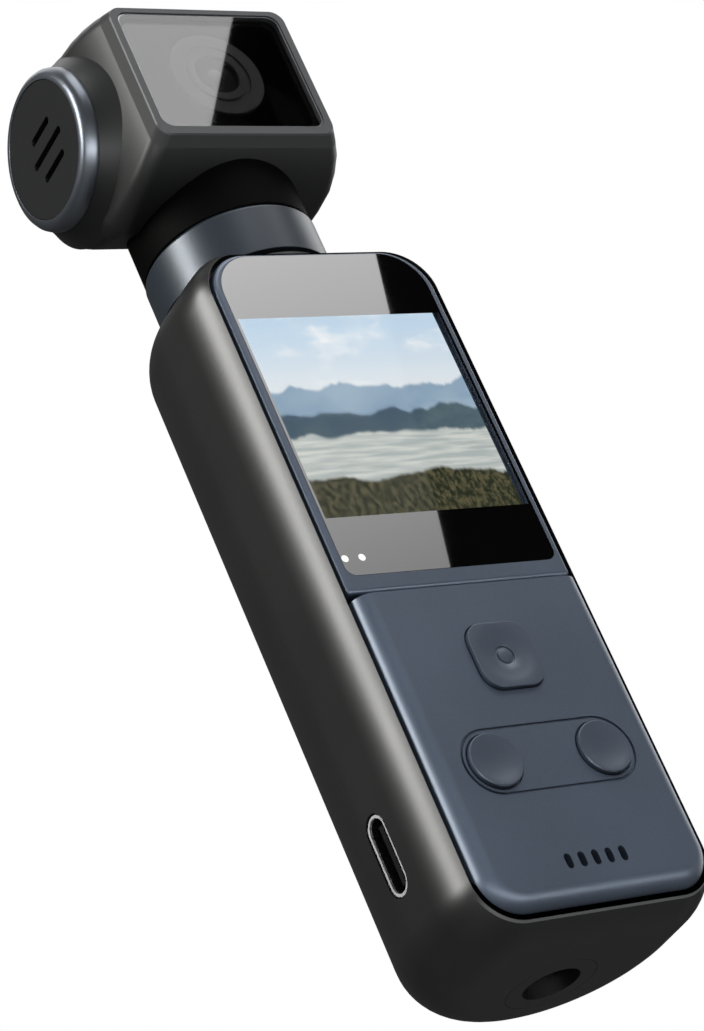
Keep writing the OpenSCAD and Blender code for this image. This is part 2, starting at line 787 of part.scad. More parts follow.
module usb_tongue() color("black") {
    along_x(usb_x + tongue_back, usb_x + usb_len, usb_y, usb_z)
        square([tongue_w, tongue_t], center = true);
    along_x(usb_x + usb_len - usb_block, usb_x + usb_len, usb_y, usb_z)
        slot_2d(usb_w - 2 * usb_sheet - seat_gap, usb_t - 2 * usb_sheet - seat_gap);
}

module card_socket() color("silver") difference() {
    translate([card_x1 - socket_back - socket_len, board_back_y, card_z - card_w / 2 - card_play - card_sheet])
        cube([socket_len, card_t + 2 * (card_play + card_sheet), card_w + 2 * (card_play + card_sheet)]);
    translate([card_x1 - card_len - card_play, card_y - card_t / 2 - card_play,
        card_z - card_w / 2 - card_play])
        cube([card_len + overrun, card_t + 2 * card_play, card_w + 2 * card_play]);
}

module memory_card() color("black") difference() {
    translate([card_x1 - card_len, card_y - card_t / 2, card_z - card_w / 2])
        cube([card_len, card_t, card_w]);
    // Notch along one long side, and the thumb ridge's slope
    translate([card_x1 - card_len - overrun, card_y - card_t, card_z + card_w / 2 - card_notch_w])
        cube([card_notch_len + overrun, 2 * card_t, card_notch_w + overrun]);
}

module tripod_insert() color("dimgray") rotate_extrude() difference() {
    square([insert_r, insert_h]);
    translate([-overrun, -overrun]) square([socket_r + overrun, socket_depth + overrun]);
    for (z = [insert_h / 3, 2 * insert_h / 3]) translate([insert_r - knurl_depth, z - knurl_w / 2])
        square([knurl_depth + overrun, knurl_w]);
}

module pan_bush() color("white") difference() {
    union() {
        translate([0, 0, bush_z0]) cylinder(r = bush_out_r, h = neck_top - bush_z0);
        translate([0, 0, neck_top]) cylinder(r = bush_flange_r, h = flange_h);
    }
    translate([0, 0, bush_z0 - overrun]) cylinder(r = bush_in_r, h = body_h);
    // Slot that the ring's stop lug turns in
    translate([0, 0, neck_top]) rotate(lug_mid_deg - pan_left - lug_deg / 2 - lug_play_deg)
        rotate_extrude(angle = pan_left + pan_right + lug_deg + 2 * lug_play_deg)
            translate([lug_r0 - lug_gap, 0]) square([lug_r1 - lug_r0 + 2 * lug_gap, flange_h + overrun]);
}

module neck_ring() color("slategray") {
    rotate_extrude() difference() {
        translate([spindle_r + seat_gap, ring_z0]) square([neck_r - spindle_r - seat_gap, ring_h]);
        translate([neck_r, ring_z1]) rotate(45) square(ring_edge * sqrt(2), center = true);
        translate([0, ring_z1 - head_pocket])
            square([spindle_screw_r + spindle_head_r + seat_gap, head_pocket + overrun]);
    }
    // Stop lug
    translate([0, 0, neck_top + lug_gap]) rotate(lug_mid_deg - lug_deg / 2)
        rotate_extrude(angle = lug_deg) translate([lug_r0, 0])
            square([lug_r1 - lug_r0, ring_z0 - neck_top - lug_gap + touch]);
}

// The spindle's screws, on their circle
module at_spindle_screws() {
    for (i = [0 : spindle_screw_n - 1]) rotate(30 + i * 360 / spindle_screw_n)
        translate([spindle_screw_r, 0, 0]) children();
}

module pan_spindle() color("silver") difference() {
    rotate_extrude() difference() {
        union() {
            translate([spindle_bore_r, clip_z - spindle_end])
                square([spindle_r - spindle_bore_r, plate_z - clip_z + spindle_end]);
            translate([spindle_bore_r, ring_z1])
                square([spindle_flange_r - spindle_bore_r, spindle_flange_t]);
        }
        translate([spindle_r - clip_depth, clip_z - seat_gap])
            square([clip_depth + overrun, clip_t + 2 * seat_gap]);
    }
    at_spindle_screws() translate([0, 0, ring_z1 - overrun])
        cylinder(r = spindle_shank_r + seat_gap, h = spindle_flange_t + 2 * overrun);
}

module spindle_screws() color("silver") at_spindle_screws() {
    translate([0, 0, ring_z1]) cylinder(r = spindle_shank_r, h = spindle_flange_t + head_wall);
    translate([0, 0, ring_z1 - screw_head_t]) cylinder(r = spindle_head_r, h = screw_head_t);
}

module friction_washer() color("goldenrod") translate([0, 0, washer_z]) difference() {
    cylinder(r = washer_r, h = washer_t);
    translate([0, 0, -overrun]) cylinder(r = spindle_r + seat_gap, h = washer_t + 2 * overrun);
}

module retaining_clip() color("gray") translate([0, 0, clip_z]) difference() {
    cylinder(r = clip_r, h = clip_t);
    translate([0, 0, -overrun]) cylinder(r = spindle_r - clip_depth + seat_gap, h = clip_t + 2 * overrun);
    // Open side of the clip
    translate([0, -clip_r / 4, -overrun]) cube([2 * clip_r, clip_r / 2, clip_t + 2 * overrun]);
}

// The head as a whole, drawn in by an inset
module head_form(inset) {
    hull() {
        for (i = [inset > 0 ? cavity_section : 0 : len(section_back) - 1]) head_section(i, inset);
        translate([0, head_axis_y, head_z]) rotate([0, 90, 0]) rotate_extrude($fn = 2 * hull_fn)
            half_puck_2d(head_half_w - inset, head_r - inset, head_edge_r, $fn = hull_fn * 3 / 4);
    }
}

// One of the head's sections, drawn in by an inset
module head_section(i, inset) {
    along_y(-window_y + section_back[i] - (i == 0 ? 0 : section_t),
        -window_y + section_back[i] + (i == 0 ? section_t : 0))
        panel_2d(window_w + 2 * (section_wide[i] - inset),
            window_z - window_h / 2 - section_down[i] + inset,
            window_z + window_h / 2 + section_up[i] - inset,
            section_low_r, section_top_r * top_r_shares[i], $fn = hull_fn);
}

// Section through the head's round back, from its axis out
module half_puck_2d(half, r, e) {
    translate([0, -half + e]) square([r, 2 * (half - e)]);
    translate([0, -half]) square([r - e, 2 * half]);
    for (side = [-1, 1]) translate([r - e, side * (half - e)]) circle(e);
}

// The window's opening seen from the front, drawn in by an inset from the frame's rail
module window_2d(inset) {
    w = window_w - 2 * (frame_rail + inset);
    h = window_h - 2 * (frame_rail + inset);
    translate([0, window_z + window_lift]) panel_2d(w, -h / 2, h / 2, window_r, window_r);
}

// Space behind the plane where head and rear cover part, let out by a play
module behind_split(play) {
    translate([-body_w, split_y - play, split_z - play]) cube([2 * body_w, body_w, body_w + head_r]);
}

// Turns a drawing of radius and length into a round piece on the head's left side
module on_left() {
    translate([0, head_axis_y, head_z]) rotate([0, -90, 0]) rotate_extrude() children();
}

module head_housing() color("dimgray") difference() {
    union() {
        head_form(0);
        translate([0, 0, ring_z1]) cylinder(r = stub_r, h = head_z - head_r - ring_z1 + head_wall);
    }
    head_form(head_wall);
    behind_split(seat_gap);
    along_y(-window_y - overrun, -window_y + frame_t)
        translate([-body_w, window_z - body_w]) square(2 * body_w);
    along_y(-window_y, 0) window_2d(window_ledge - mask_play);
    translate([0, 0, ring_z1 - overrun])
        cylinder(r = spindle_flange_r + 2 * seat_gap, h = spindle_flange_t + overrun);
    cylinder(r = spindle_bore_r + seat_gap, h = head_z);
    at_spindle_screws() translate([0, 0, ring_z1])
        cylinder(r = spindle_shank_r + seat_gap, h = spindle_flange_t + head_wall + seat_gap);
}

module head_rear_cover() color("dimgray") difference() {
    intersection() {
        head_form(0);
        behind_split(0);
    }
    head_form(head_wall);
}

module window_frame() color("gray") difference() {
    hull() {
        head_section(0, 0);
        head_section(1, 0);
    }
    along_y(-window_y - overrun, -window_y + glass_recess + window_glass_t) window_2d(-seat_gap);
    along_y(-window_y - overrun, -window_y + frame_t + overrun) window_2d(window_ledge);
}

module window_glass() color("black") along_y(-window_y + glass_recess,
    -window_y + glass_recess + window_glass_t) window_2d(0);

module window_mask() color("black") along_y(-window_y + frame_t, mask_back_y) difference() {
    window_2d(window_ledge - mask_play + seat_gap);
    translate([0, lens_z]) circle(lens_ring_r + mask_play);
}

// Turns a drawing of radius and depth from the window into a round piece on the lens's axis
module on_lens(y) {
    translate([0, y, lens_z]) rotate([-90, 0, 0]) rotate_extrude() children();
}

module lens_ring() color("gray") on_lens(lens_ring_y) difference() {
    square([lens_ring_r, lens_ring_t]);
    square([lens_r + seat_gap, lens_ring_t]);
    translate([lens_r + lens_wall, -overrun]) square([lens_wall / 2, overrun + lens_ring_t / 4]);
}

module front_lens() color("midnightblue") intersection() {
    translate([0, lens_ring_y + touch, lens_z]) rotate([-90, 0, 0])
        cylinder(r = lens_r, h = front_lens_t);
    translate([0, lens_ring_y + touch + 2 * lens_r, lens_z]) sphere(r = 2 * lens_r, $fn = 3 * hull_fn);
}

module lens_barrel() color("black") on_lens(barrel_y) difference() {
    square([barrel_r, barrel_len]);
    square([lens_r + seat_gap, front_lens_t - lens_ring_t + touch + 2 * seat_gap]);
    square([rear_lens_r + seat_gap, barrel_len]);
}

module rear_lens() color("midnightblue") on_lens(barrel_y + barrel_len - rear_lens_t)
    square([rear_lens_r, rear_lens_t]);

module lens_holder() color("black") difference() {
    union() {
        on_lens(holder_y) square([barrel_r + holder_wall, sensor_board_y - holder_y]);
        translate([-holder_w / 2, sensor_board_y - sensor_t - holder_wall, lens_z - holder_w / 2])
            cube([holder_w, sensor_t + holder_wall, holder_w]);
    }
    on_lens(holder_y - overrun) square([barrel_r + seat_gap,
        barrel_y + barrel_len - holder_y + overrun + seat_gap]);
    on_lens(holder_y) square([rear_lens_r, sensor_board_y - holder_y]);
    translate([-sensor_w / 2 - seat_gap, sensor_board_y - sensor_t - seat_gap,
        lens_z - sensor_h / 2 - seat_gap])
        cube([sensor_w + 2 * seat_gap, sensor_t + overrun, sensor_h + 2 * seat_gap]);
}

module image_sensor() color("teal")
    translate([-sensor_w / 2, sensor_board_y - sensor_t, lens_z - sensor_h / 2])
        cube([sensor_w, sensor_t, sensor_h]);

module sensor_board() color("darkgreen") along_y(sensor_board_y, sensor_board_y + sensor_board_t)
    translate([0, lens_z]) panel_2d(2 * sensor_board_half, -sensor_board_h / 2,
        sensor_board_h / 2, board_corner_r, board_corner_r);

module sensor_flex() color("orange")
    translate([-flex_w / 2, sensor_board_y + sensor_board_t, flex_z0])
        cube([flex_w, flex_t, lens_z - sensor_board_h / 2 + flex_lap - flex_z0]);

// The boss flares out to the head and fits its side
module side_boss() color("black") difference() {
    on_left() difference() {
        polygon([[0, boss_foot_x], [boss_foot_r, boss_foot_x],
            [boss_waist_r, head_half_w + boss_waist_x], [cap_r, boss_x1], [0, boss_x1]]);
        translate([0, boss_x1 - mic_t - seat_gap]) square([mic_r + seat_gap, boss_len]);
    }
    head_form(0);
}

module side_ring() color("lightslategray") on_left() difference() {
    polygon(concat([[0, boss_x1], [cap_r, boss_x1]], [for (a = [0 : cap_bevel_step : 90])
        [cap_r - cap_bevel_r * (1 - cos(a)), cap_x1 - cap_bevel_x * (1 - sin(a))]], [[0, cap_x1]]));
    square([cap_r - cap_bevel_r - cap_shell, body_w]);
    translate([0, cap_x1 - cap_face_back - cap_face_t])
        square([cap_r - cap_bevel_r - seat_gap * 2, cap_face_t + overrun]);
}

module side_cap() color("black") difference() {
    on_left() translate([0, cap_x1 - cap_face_back - cap_face_t])
        square([cap_r - cap_bevel_r - seat_gap * 3, cap_face_t]);
    for (i = [0 : len(louvre_len) - 1])
        translate([-cap_x1 - overrun, head_axis_y + louvre_y, head_z + louvre_z + (1 - i) * louvre_gap])
            rotate([90, 0, 90])
            linear_extrude(cap_face_t + 2 * overrun) slot_2d(louvre_len[i], louvre_w);
}

module microphone() color("silver") on_left() translate([0, boss_x1 - mic_t]) square([mic_r, mic_t]);

rear_shell();
screen_bezel();
key_panel();
screen_glass();
display_panel();
display_holder();
indicator_lights();
record_key();
menu_key();
power_key();
key_mat();
key_switches();
key_board();
key_board_screws();
speaker();
speaker_gasket();
main_board();
main_board_screws();
main_chips();
board_connector();
battery();
battery_pad();
usb_shell();
usb_tongue();
card_socket();
memory_card();
tripod_insert();
pan_bush();
neck_ring();
pan_spindle();
spindle_screws();
friction_washer();
retaining_clip();
head_housing();
head_rear_cover();
window_frame();
window_glass();
window_mask();
lens_ring();
front_lens();
lens_barrel();
rear_lens();
lens_holder();
image_sensor();
sensor_board();
sensor_flex();
side_boss();
side_ring();
side_cap();
microphone();
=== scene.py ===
"""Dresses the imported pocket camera: smooth pieces over the fixed frame, finishes, lamps and the camera."""
import math

import bmesh
import bpy
from bpy.props import FloatProperty, FloatVectorProperty, IntProperty, PointerProperty
from mathutils import Matrix, Vector


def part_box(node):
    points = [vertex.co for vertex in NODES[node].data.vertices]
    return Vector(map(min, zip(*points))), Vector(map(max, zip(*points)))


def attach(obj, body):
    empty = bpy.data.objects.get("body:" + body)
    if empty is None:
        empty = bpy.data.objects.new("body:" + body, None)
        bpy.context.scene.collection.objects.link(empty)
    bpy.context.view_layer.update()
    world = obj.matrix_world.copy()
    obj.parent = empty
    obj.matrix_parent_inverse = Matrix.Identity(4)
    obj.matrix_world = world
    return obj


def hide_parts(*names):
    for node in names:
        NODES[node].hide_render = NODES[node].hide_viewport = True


bl_info = {
    "name": "Pocket Camera Looks",
    "version": (1, 0, 0),
    "blender": (4, 5, 0),
    "location": "View3D > Sidebar > Pocket Camera",
    "description": "Finishes, fine edges and a studio for the packed pocket camera",
    "category": "Object",
}

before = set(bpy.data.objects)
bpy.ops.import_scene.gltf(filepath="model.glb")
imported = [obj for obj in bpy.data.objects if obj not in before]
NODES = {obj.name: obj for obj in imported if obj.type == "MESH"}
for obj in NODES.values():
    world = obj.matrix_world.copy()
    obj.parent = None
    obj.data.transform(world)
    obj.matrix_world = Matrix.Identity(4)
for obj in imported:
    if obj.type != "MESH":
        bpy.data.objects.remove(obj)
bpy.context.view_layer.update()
MM = 0.001

# Points nearer to each other than this, in metres, are one point
NEAR = 1e-6

# Noise scales of the paint's flecks and of the film on glass, per metre
FLECKS = 9000.0
FILM = 300.0

# Sockets that all the glass shares
GLAZED = {"Specular_IOR_Level": 1.0, "Coat_Weight": 1.0, "Coat_Roughness": 0.0}


# Sizes and colours that a user would change

class GripSizes(bpy.types.PropertyGroup):
    """Fine sizes of the grip's pieces"""
    cover_bevel: FloatProperty(
        name="Cover bevel", description="Width of the broken edges on the bezel and the panel",
        default=0.08 * MM, min=0.0, unit="LENGTH")
    key_bevel: FloatProperty(
        name="Key edge", description="Width of the rounded edge round each key's face",
        default=0.1 * MM, min=0.0, unit="LENGTH")
    picture_half: FloatProperty(
        name="Half picture", description="Half the width of the clear window in the glass",
        default=13.05 * MM, unit="LENGTH")
    picture_low: FloatProperty(
        name="Picture bottom", description="Height of the clear window's lower edge",
        default=48.9 * MM, unit="LENGTH")
    picture_high: FloatProperty(
        name="Picture top", description="Height of the clear window's upper edge",
        default=74.6 * MM, unit="LENGTH")


class HeadSizes(bpy.types.PropertyGroup):
    """Fine sizes of the head's pieces"""
    bevel: FloatProperty(
        name="Bevel", description="Width of the broken edges on the head's pieces",
        default=0.1 * MM, min=0.0, unit="LENGTH")
    corner_steps: IntProperty(
        name="Corner steps", description="Segments in each rounded corner of the head",
        default=10, min=3)
    back_steps: IntProperty(
        name="Back steps", description="Sections round the head's cylindrical back",
        default=20, min=6)


class Finishes(bpy.types.PropertyGroup):
    """Colours of the finishes, as linear values"""
    shell: FloatVectorProperty(
        name="Shell", description="Dark gunmetal paint", subtype="COLOR", size=3,
        default=(0.014, 0.0145, 0.0145), min=0.0, max=1.0)
    cover: FloatVectorProperty(
        name="Cover", description="Blue-grey paint of the panel and the bezel", subtype="COLOR", size=3,
        default=(0.048, 0.065, 0.094), min=0.0, max=1.0)
    ring: FloatVectorProperty(
        name="Ring", description="Blue-grey paint of the neck ring", subtype="COLOR", size=3,
        default=(0.021, 0.028, 0.037), min=0.0, max=1.0)
    cap: FloatVectorProperty(
        name="Cap", description="Near-black plastic of the side cap", subtype="COLOR", size=3,
        default=(0.012, 0.013, 0.013), min=0.0, max=1.0)


class StudioSettings(bpy.types.PropertyGroup):
    """Lamps, floor and camera"""
    floor_drop: FloatProperty(
        name="Floor", description="Height of the floor, far below the camera",
        default=-0.5, unit="LENGTH")
    focal: FloatProperty(
        name="Focal length", description="Of the camera, in millimetres on a 36 mm long side",
        default=119.577)
    fill: FloatProperty(name="Fill", description="Strength of the world's soft light", default=0.24)
    gloss: FloatProperty(name="Gloss", description="Strength of the world in reflections", default=0.06)


GROUPS = {
    "grip_sizes": GripSizes,
    "head_sizes": HeadSizes,
    "finishes": Finishes,
    "studio": StudioSettings,
}


# Shader maths

class Value:
    """A socket that takes part in Python expressions, each of which adds its nodes."""

    def __init__(self, nodes, socket):
        self.nodes = nodes
        self.socket = socket

    def math(self, operation, *others, swap=False):
        """A Math node of this value and others, which come first if swapped."""
        parts = [self, *others]
        if swap:
            parts.reverse()
        return self.nodes.add("ShaderNodeMath", {"operation": operation}, *parts)

    def __add__(self, other):
        return self.math("ADD", other)

    def __radd__(self, other):
        return self.math("ADD", other)

    def __sub__(self, other):
        return self.math("SUBTRACT", other)

    def __rsub__(self, other):
        return self.math("SUBTRACT", other, swap=True)

    def __mul__(self, other):
        return self.math("MULTIPLY", other)

    def __rmul__(self, other):
        return self.math("MULTIPLY", other)

    def __truediv__(self, other):
        return self.math("DIVIDE", other)

    def __pow__(self, other):
        return self.math("POWER", other)

    def less(self, other):
        return self.math("LESS_THAN", other)

    def more(self, other):
        return self.math("GREATER_THAN", other)

    def size(self):
        return self.math("ABSOLUTE")

    def either(self, other):
        return self.math("MAXIMUM", other)

    def step(self, low, high):
        """0 below low and 1 above high, smooth between them."""
        return self.nodes.add(
            "ShaderNodeMapRange", {"interpolation_type": "SMOOTHSTEP"}, self, low, high, 0.0, 1.0)


class Nodes:
    """Builds the nodes of a material, or of the world if it is given one."""

    def __init__(self, name, world=None):
        self.material = world or bpy.data.materials.new(name)
        self.material.use_nodes = True
        self.tree = self.material.node_tree
        self.tree.nodes.clear()
        self.output = self.tree.nodes.new("ShaderNodeOutputWorld" if world else "ShaderNodeOutputMaterial")

    def add(self, kind, settings=None, *inputs, out=0, **named):
        """Adds a node: its settings first, then values or links of its sockets in order and by name."""
        node = self.tree.nodes.new(kind)
        for key, value in (settings or {}).items():
            setattr(node, key, value)
        pairs = [(node.inputs[i], value) for i, value in enumerate(inputs)]
        pairs += [(node.inputs[key.replace("_", " ")], value) for key, value in named.items()]
        for socket, value in pairs:
            self.feed(socket, value)
        return Value(self, node.outputs[out])

    def feed(self, socket, value):
        """Links or sets a socket. None leaves it as it is."""
        if value is None:
            return
        if isinstance(value, Value):
            self.tree.links.new(value.socket, socket)
        elif socket.type == "RGBA":
            socket.default_value = (*value, 1.0)
        else:
            socket.default_value = value

    def place(self):
        """Object coordinates, in metres."""
        return self.add("ShaderNodeTexCoord", out="Object")

    def axes(self, vector):
        """The three parts of a vector."""
        split = self.add("ShaderNodeSeparateXYZ", None, vector)
        return [Value(self, socket) for socket in split.socket.node.outputs]

    def noise(self, vector, scale, detail=2.0, rough=0.5):
        return self.add(
            "ShaderNodeTexNoise", None, Vector=vector, Scale=scale, Detail=detail, Roughness=rough)

    def blend(self, amount, a, b):
        """Mix of two colours, which are the node's seventh and eighth sockets."""
        return self.add("ShaderNodeMix", {"data_type": "RGBA"}, amount, *[None] * 5, a, b, out=2)

    def bump(self, height, distance, strength=1.0):
        return self.add("ShaderNodeBump", None, Strength=strength, Distance=distance, Height=height)

    def glow(self, strength, kind="ShaderNodeEmission"):
        """A plain white glow as the whole surface."""
        return self.closed(self.add(kind, None, (1.0, 1.0, 1.0), strength))

    def surface(self, **sockets):
        """The principled shader with these sockets as the whole surface."""
        return self.closed(self.add("ShaderNodeBsdfPrincipled", None, **sockets))

    def closed(self, shader):
        """Links the shader to the output and gives the material."""
        self.tree.links.new(shader.socket, self.output.inputs[0])
        return self.material


# Finishes

def tinted(colour, factor):
    """A colour made darker or paler."""
    return tuple(min(1.0, channel * factor) for channel in colour)


def satin_paint(name, colour, rough, metal, spread=0.12, shine=0.5, line=None):
    """Satin paint with fine flecks and uneven gloss. A line is a mask's function and its colour, painted
    over the paint, as the shell's painted highlight is.
    """
    n = Nodes(name)
    place = n.place()
    fleck = n.noise(place, FLECKS)
    drift = n.noise(place, 60.0, 3.0)
    tone = fleck.step(0.35, 0.65) * 0.6 + drift.step(0.3, 0.7) * 0.4
    shade = n.blend(tone, tinted(colour, 1.0 - spread), tinted(colour, 1.0 + spread))
    if line:
        mask, pale = line
        shade = n.blend(mask(n, place), shade, pale)
    return n.surface(
        Base_Color=shade,
        Metallic=metal,
        Roughness=drift * 0.06 + (fleck * 0.06 + (rough - 0.06)),
        Specular_IOR_Level=shine,
        Normal=n.bump(fleck, 0.01 * MM, 0.25))


def moulded_plastic(name, colour, rough, texture=0.35, shine=0.5):
    """Moulded plastic with a fine spark-eroded texture."""
    n = Nodes(name)
    place = n.place()
    pits = n.noise(place, 6000.0, 3.0, 0.6)
    drift = n.noise(place, 90.0)
    return n.surface(
        Base_Color=n.blend(drift, tinted(colour, 0.88), tinted(colour, 1.12)),
        Roughness=pits * 0.12 + (rough - 0.06),
        Specular_IOR_Level=shine,
        Normal=n.bump(pits, 0.012 * MM, texture))


def bare_metal(name, colour, rough, brushed=True):
    """Bare metal with fine drawn lines or a plain fine grain."""
    n = Nodes(name)
    stretch = (1.0, 1.0, 40.0) if brushed else (1.0, 1.0, 1.0)
    lines = n.noise(n.add("ShaderNodeMapping", None, Vector=n.place(), Scale=stretch), 700.0, 4.0)
    return n.surface(
        Base_Color=n.blend(lines, tinted(colour, 0.85), tinted(colour, 1.1)),
        Metallic=1.0,
        Roughness=lines * 0.15 + (rough - 0.07),
        Normal=n.bump(lines, 0.005 * MM, 0.2))


def outline_reach(place, half, low, high, corner):
    """Distance, seen from the front, from the core of a rounded rectangle whose outline is at corner."""
    x, _, z = place.nodes.axes(place)
    side = (x.size() - (half - corner)).either(0.0)
    rise = ((z - (low + high) / 2).size() - ((high - low) / 2 - corner)).either(0.0)
    return (side * side + rise * rise) ** 0.5


# Mesh helpers

def linked(name, data):
    """A new object in the scene."""
    made = bpy.data.objects.new(name, data)
    bpy.context.scene.collection.objects.link(made)
    return made


def meshed(bm, name, material):
    """A new object of a finished bmesh in one material."""
    mesh = bpy.data.meshes.new(name)
    bm.to_mesh(mesh)
    bm.free()
    mesh.materials.append(material)
    return linked(name, mesh)


def fitted(bm, name, body, material, slot, *stands_for):
    """A smooth piece on its body, in its material, that stands for its CAD nodes."""
    piece = meshed(bm, name, material)
    piece.modifiers.new("even_normals", "WEIGHTED_NORMAL").keep_sharp = True
    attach(piece, body)
    if stands_for:
        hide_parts(*stands_for)


def dress(material, *nodes):
    """CAD nodes that stay as they are get their finish."""
    for node in nodes:
        NODES[node].data.materials.clear()
        NODES[node].data.materials.append(material)


def smooth_by_angle(bm, degrees):
    """Smooth shading with sharp edges past this angle."""
    limit = math.radians(degrees)
    for face in bm.faces:
        face.smooth = True
    for edge in bm.edges:
        edge.smooth = len(edge.link_faces) == 2 and edge.calc_face_angle(0.0) < limit


def refined(node, bevel=0.0, crease=35.0):
    """A merged copy of a CAD node's mesh with its hard edges broken."""
    bm = bmesh.new()
    bm.from_mesh(NODES[node].data)
    bmesh.ops.remove_doubles(bm, verts=bm.verts, dist=NEAR)
    bmesh.ops.dissolve_limit(
        bm, angle_limit=math.radians(0.4), verts=bm.verts, edges=bm.edges, delimit={"NORMAL"})
    if bevel:
        limit = math.radians(crease)
        joins = [edge for edge in bm.edges if len(edge.link_faces) == 2]
        hard = [edge for edge in joins if edge.calc_face_angle(0.0) > limit]
        bmesh.ops.bevel(
            bm, geom=hard, offset=bevel, segments=2, profile=0.5, affect="EDGES", material=-1,
            clamp_overlap=True)
        bmesh.ops.dissolve_degenerate(bm, dist=NEAR, edges=bm.edges)
    smooth_by_angle(bm, crease)
    return bm


def settled(bm):
    """Puts points and faces in an order that doesn't change from run to run, as a spin's can."""
    along = Vector((1.0, math.e, math.pi))
    bm.verts.sort(key=lambda vert: vert.co.dot(along))
    bm.faces.sort(key=lambda face: face.calc_center_median().dot(along))


def turned(points, centre, axis, crease, steps=96):
    """A closed profile of radius and height, turned about an axis through centre."""
    bm = bmesh.new()
    verts = [bm.verts.new((radius, 0.0, height)) for radius, height in points]
    edges = [bm.edges.new(pair) for pair in zip(verts, verts[1:] + verts[:1])]
    bmesh.ops.spin(
        bm, geom=verts + edges, cent=(0, 0, 0), axis=(0, 0, 1), angle=math.tau, steps=steps,
        use_merge=True, use_duplicate=False)
    bmesh.ops.remove_doubles(bm, verts=bm.verts, dist=NEAR)
    bmesh.ops.recalc_face_normals(bm, faces=bm.faces)
    turn = Vector((0, 0, 1)).rotation_difference(Vector(axis)).to_matrix().to_4x4()
    bmesh.ops.transform(bm, matrix=Matrix.Translation(centre) @ turn, verts=bm.verts)
    settled(bm)
    smooth_by_angle(bm, crease)
    return bm


def rounded_outline(bm, half, low, high, low_radius, high_radius, y, steps):
    """The face of an upright rounded rectangle at depth y, with a point at half height on each side."""
    level = (low + high) / 2
    corners = bmesh.ops.create_grid(bm, x_segments=1, y_segments=2, size=0.5)["verts"]
    bmesh.ops.scale(bm, vec=(2 * half, high - low, 1.0), verts=corners)
    bmesh.ops.rotate(bm, cent=(0, 0, 0), matrix=Matrix.Rotation(math.pi / 2, 3, "X"), verts=corners)
    bmesh.ops.translate(bm, vec=(0.0, y, level), verts=corners)
    ends = [vert for vert in corners if abs(vert.co.z - level) < NEAR]
    across = [edge for edge in ends[0].link_edges if edge.other_vert(ends[0]) in ends]
    bmesh.ops.dissolve_edges(bm, edges=across)
    for radius, place in ((low_radius, low), (high_radius, high)):
        face = ends[0].link_faces[0]
        bmesh.ops.bevel(
            bm, geom=[vert for vert in face.verts if abs(vert.co.z - place) < NEAR], offset=radius,
            segments=steps, profile=0.5, affect="VERTICES", material=-1)
    return ends[0].link_faces[0]


# The pieces

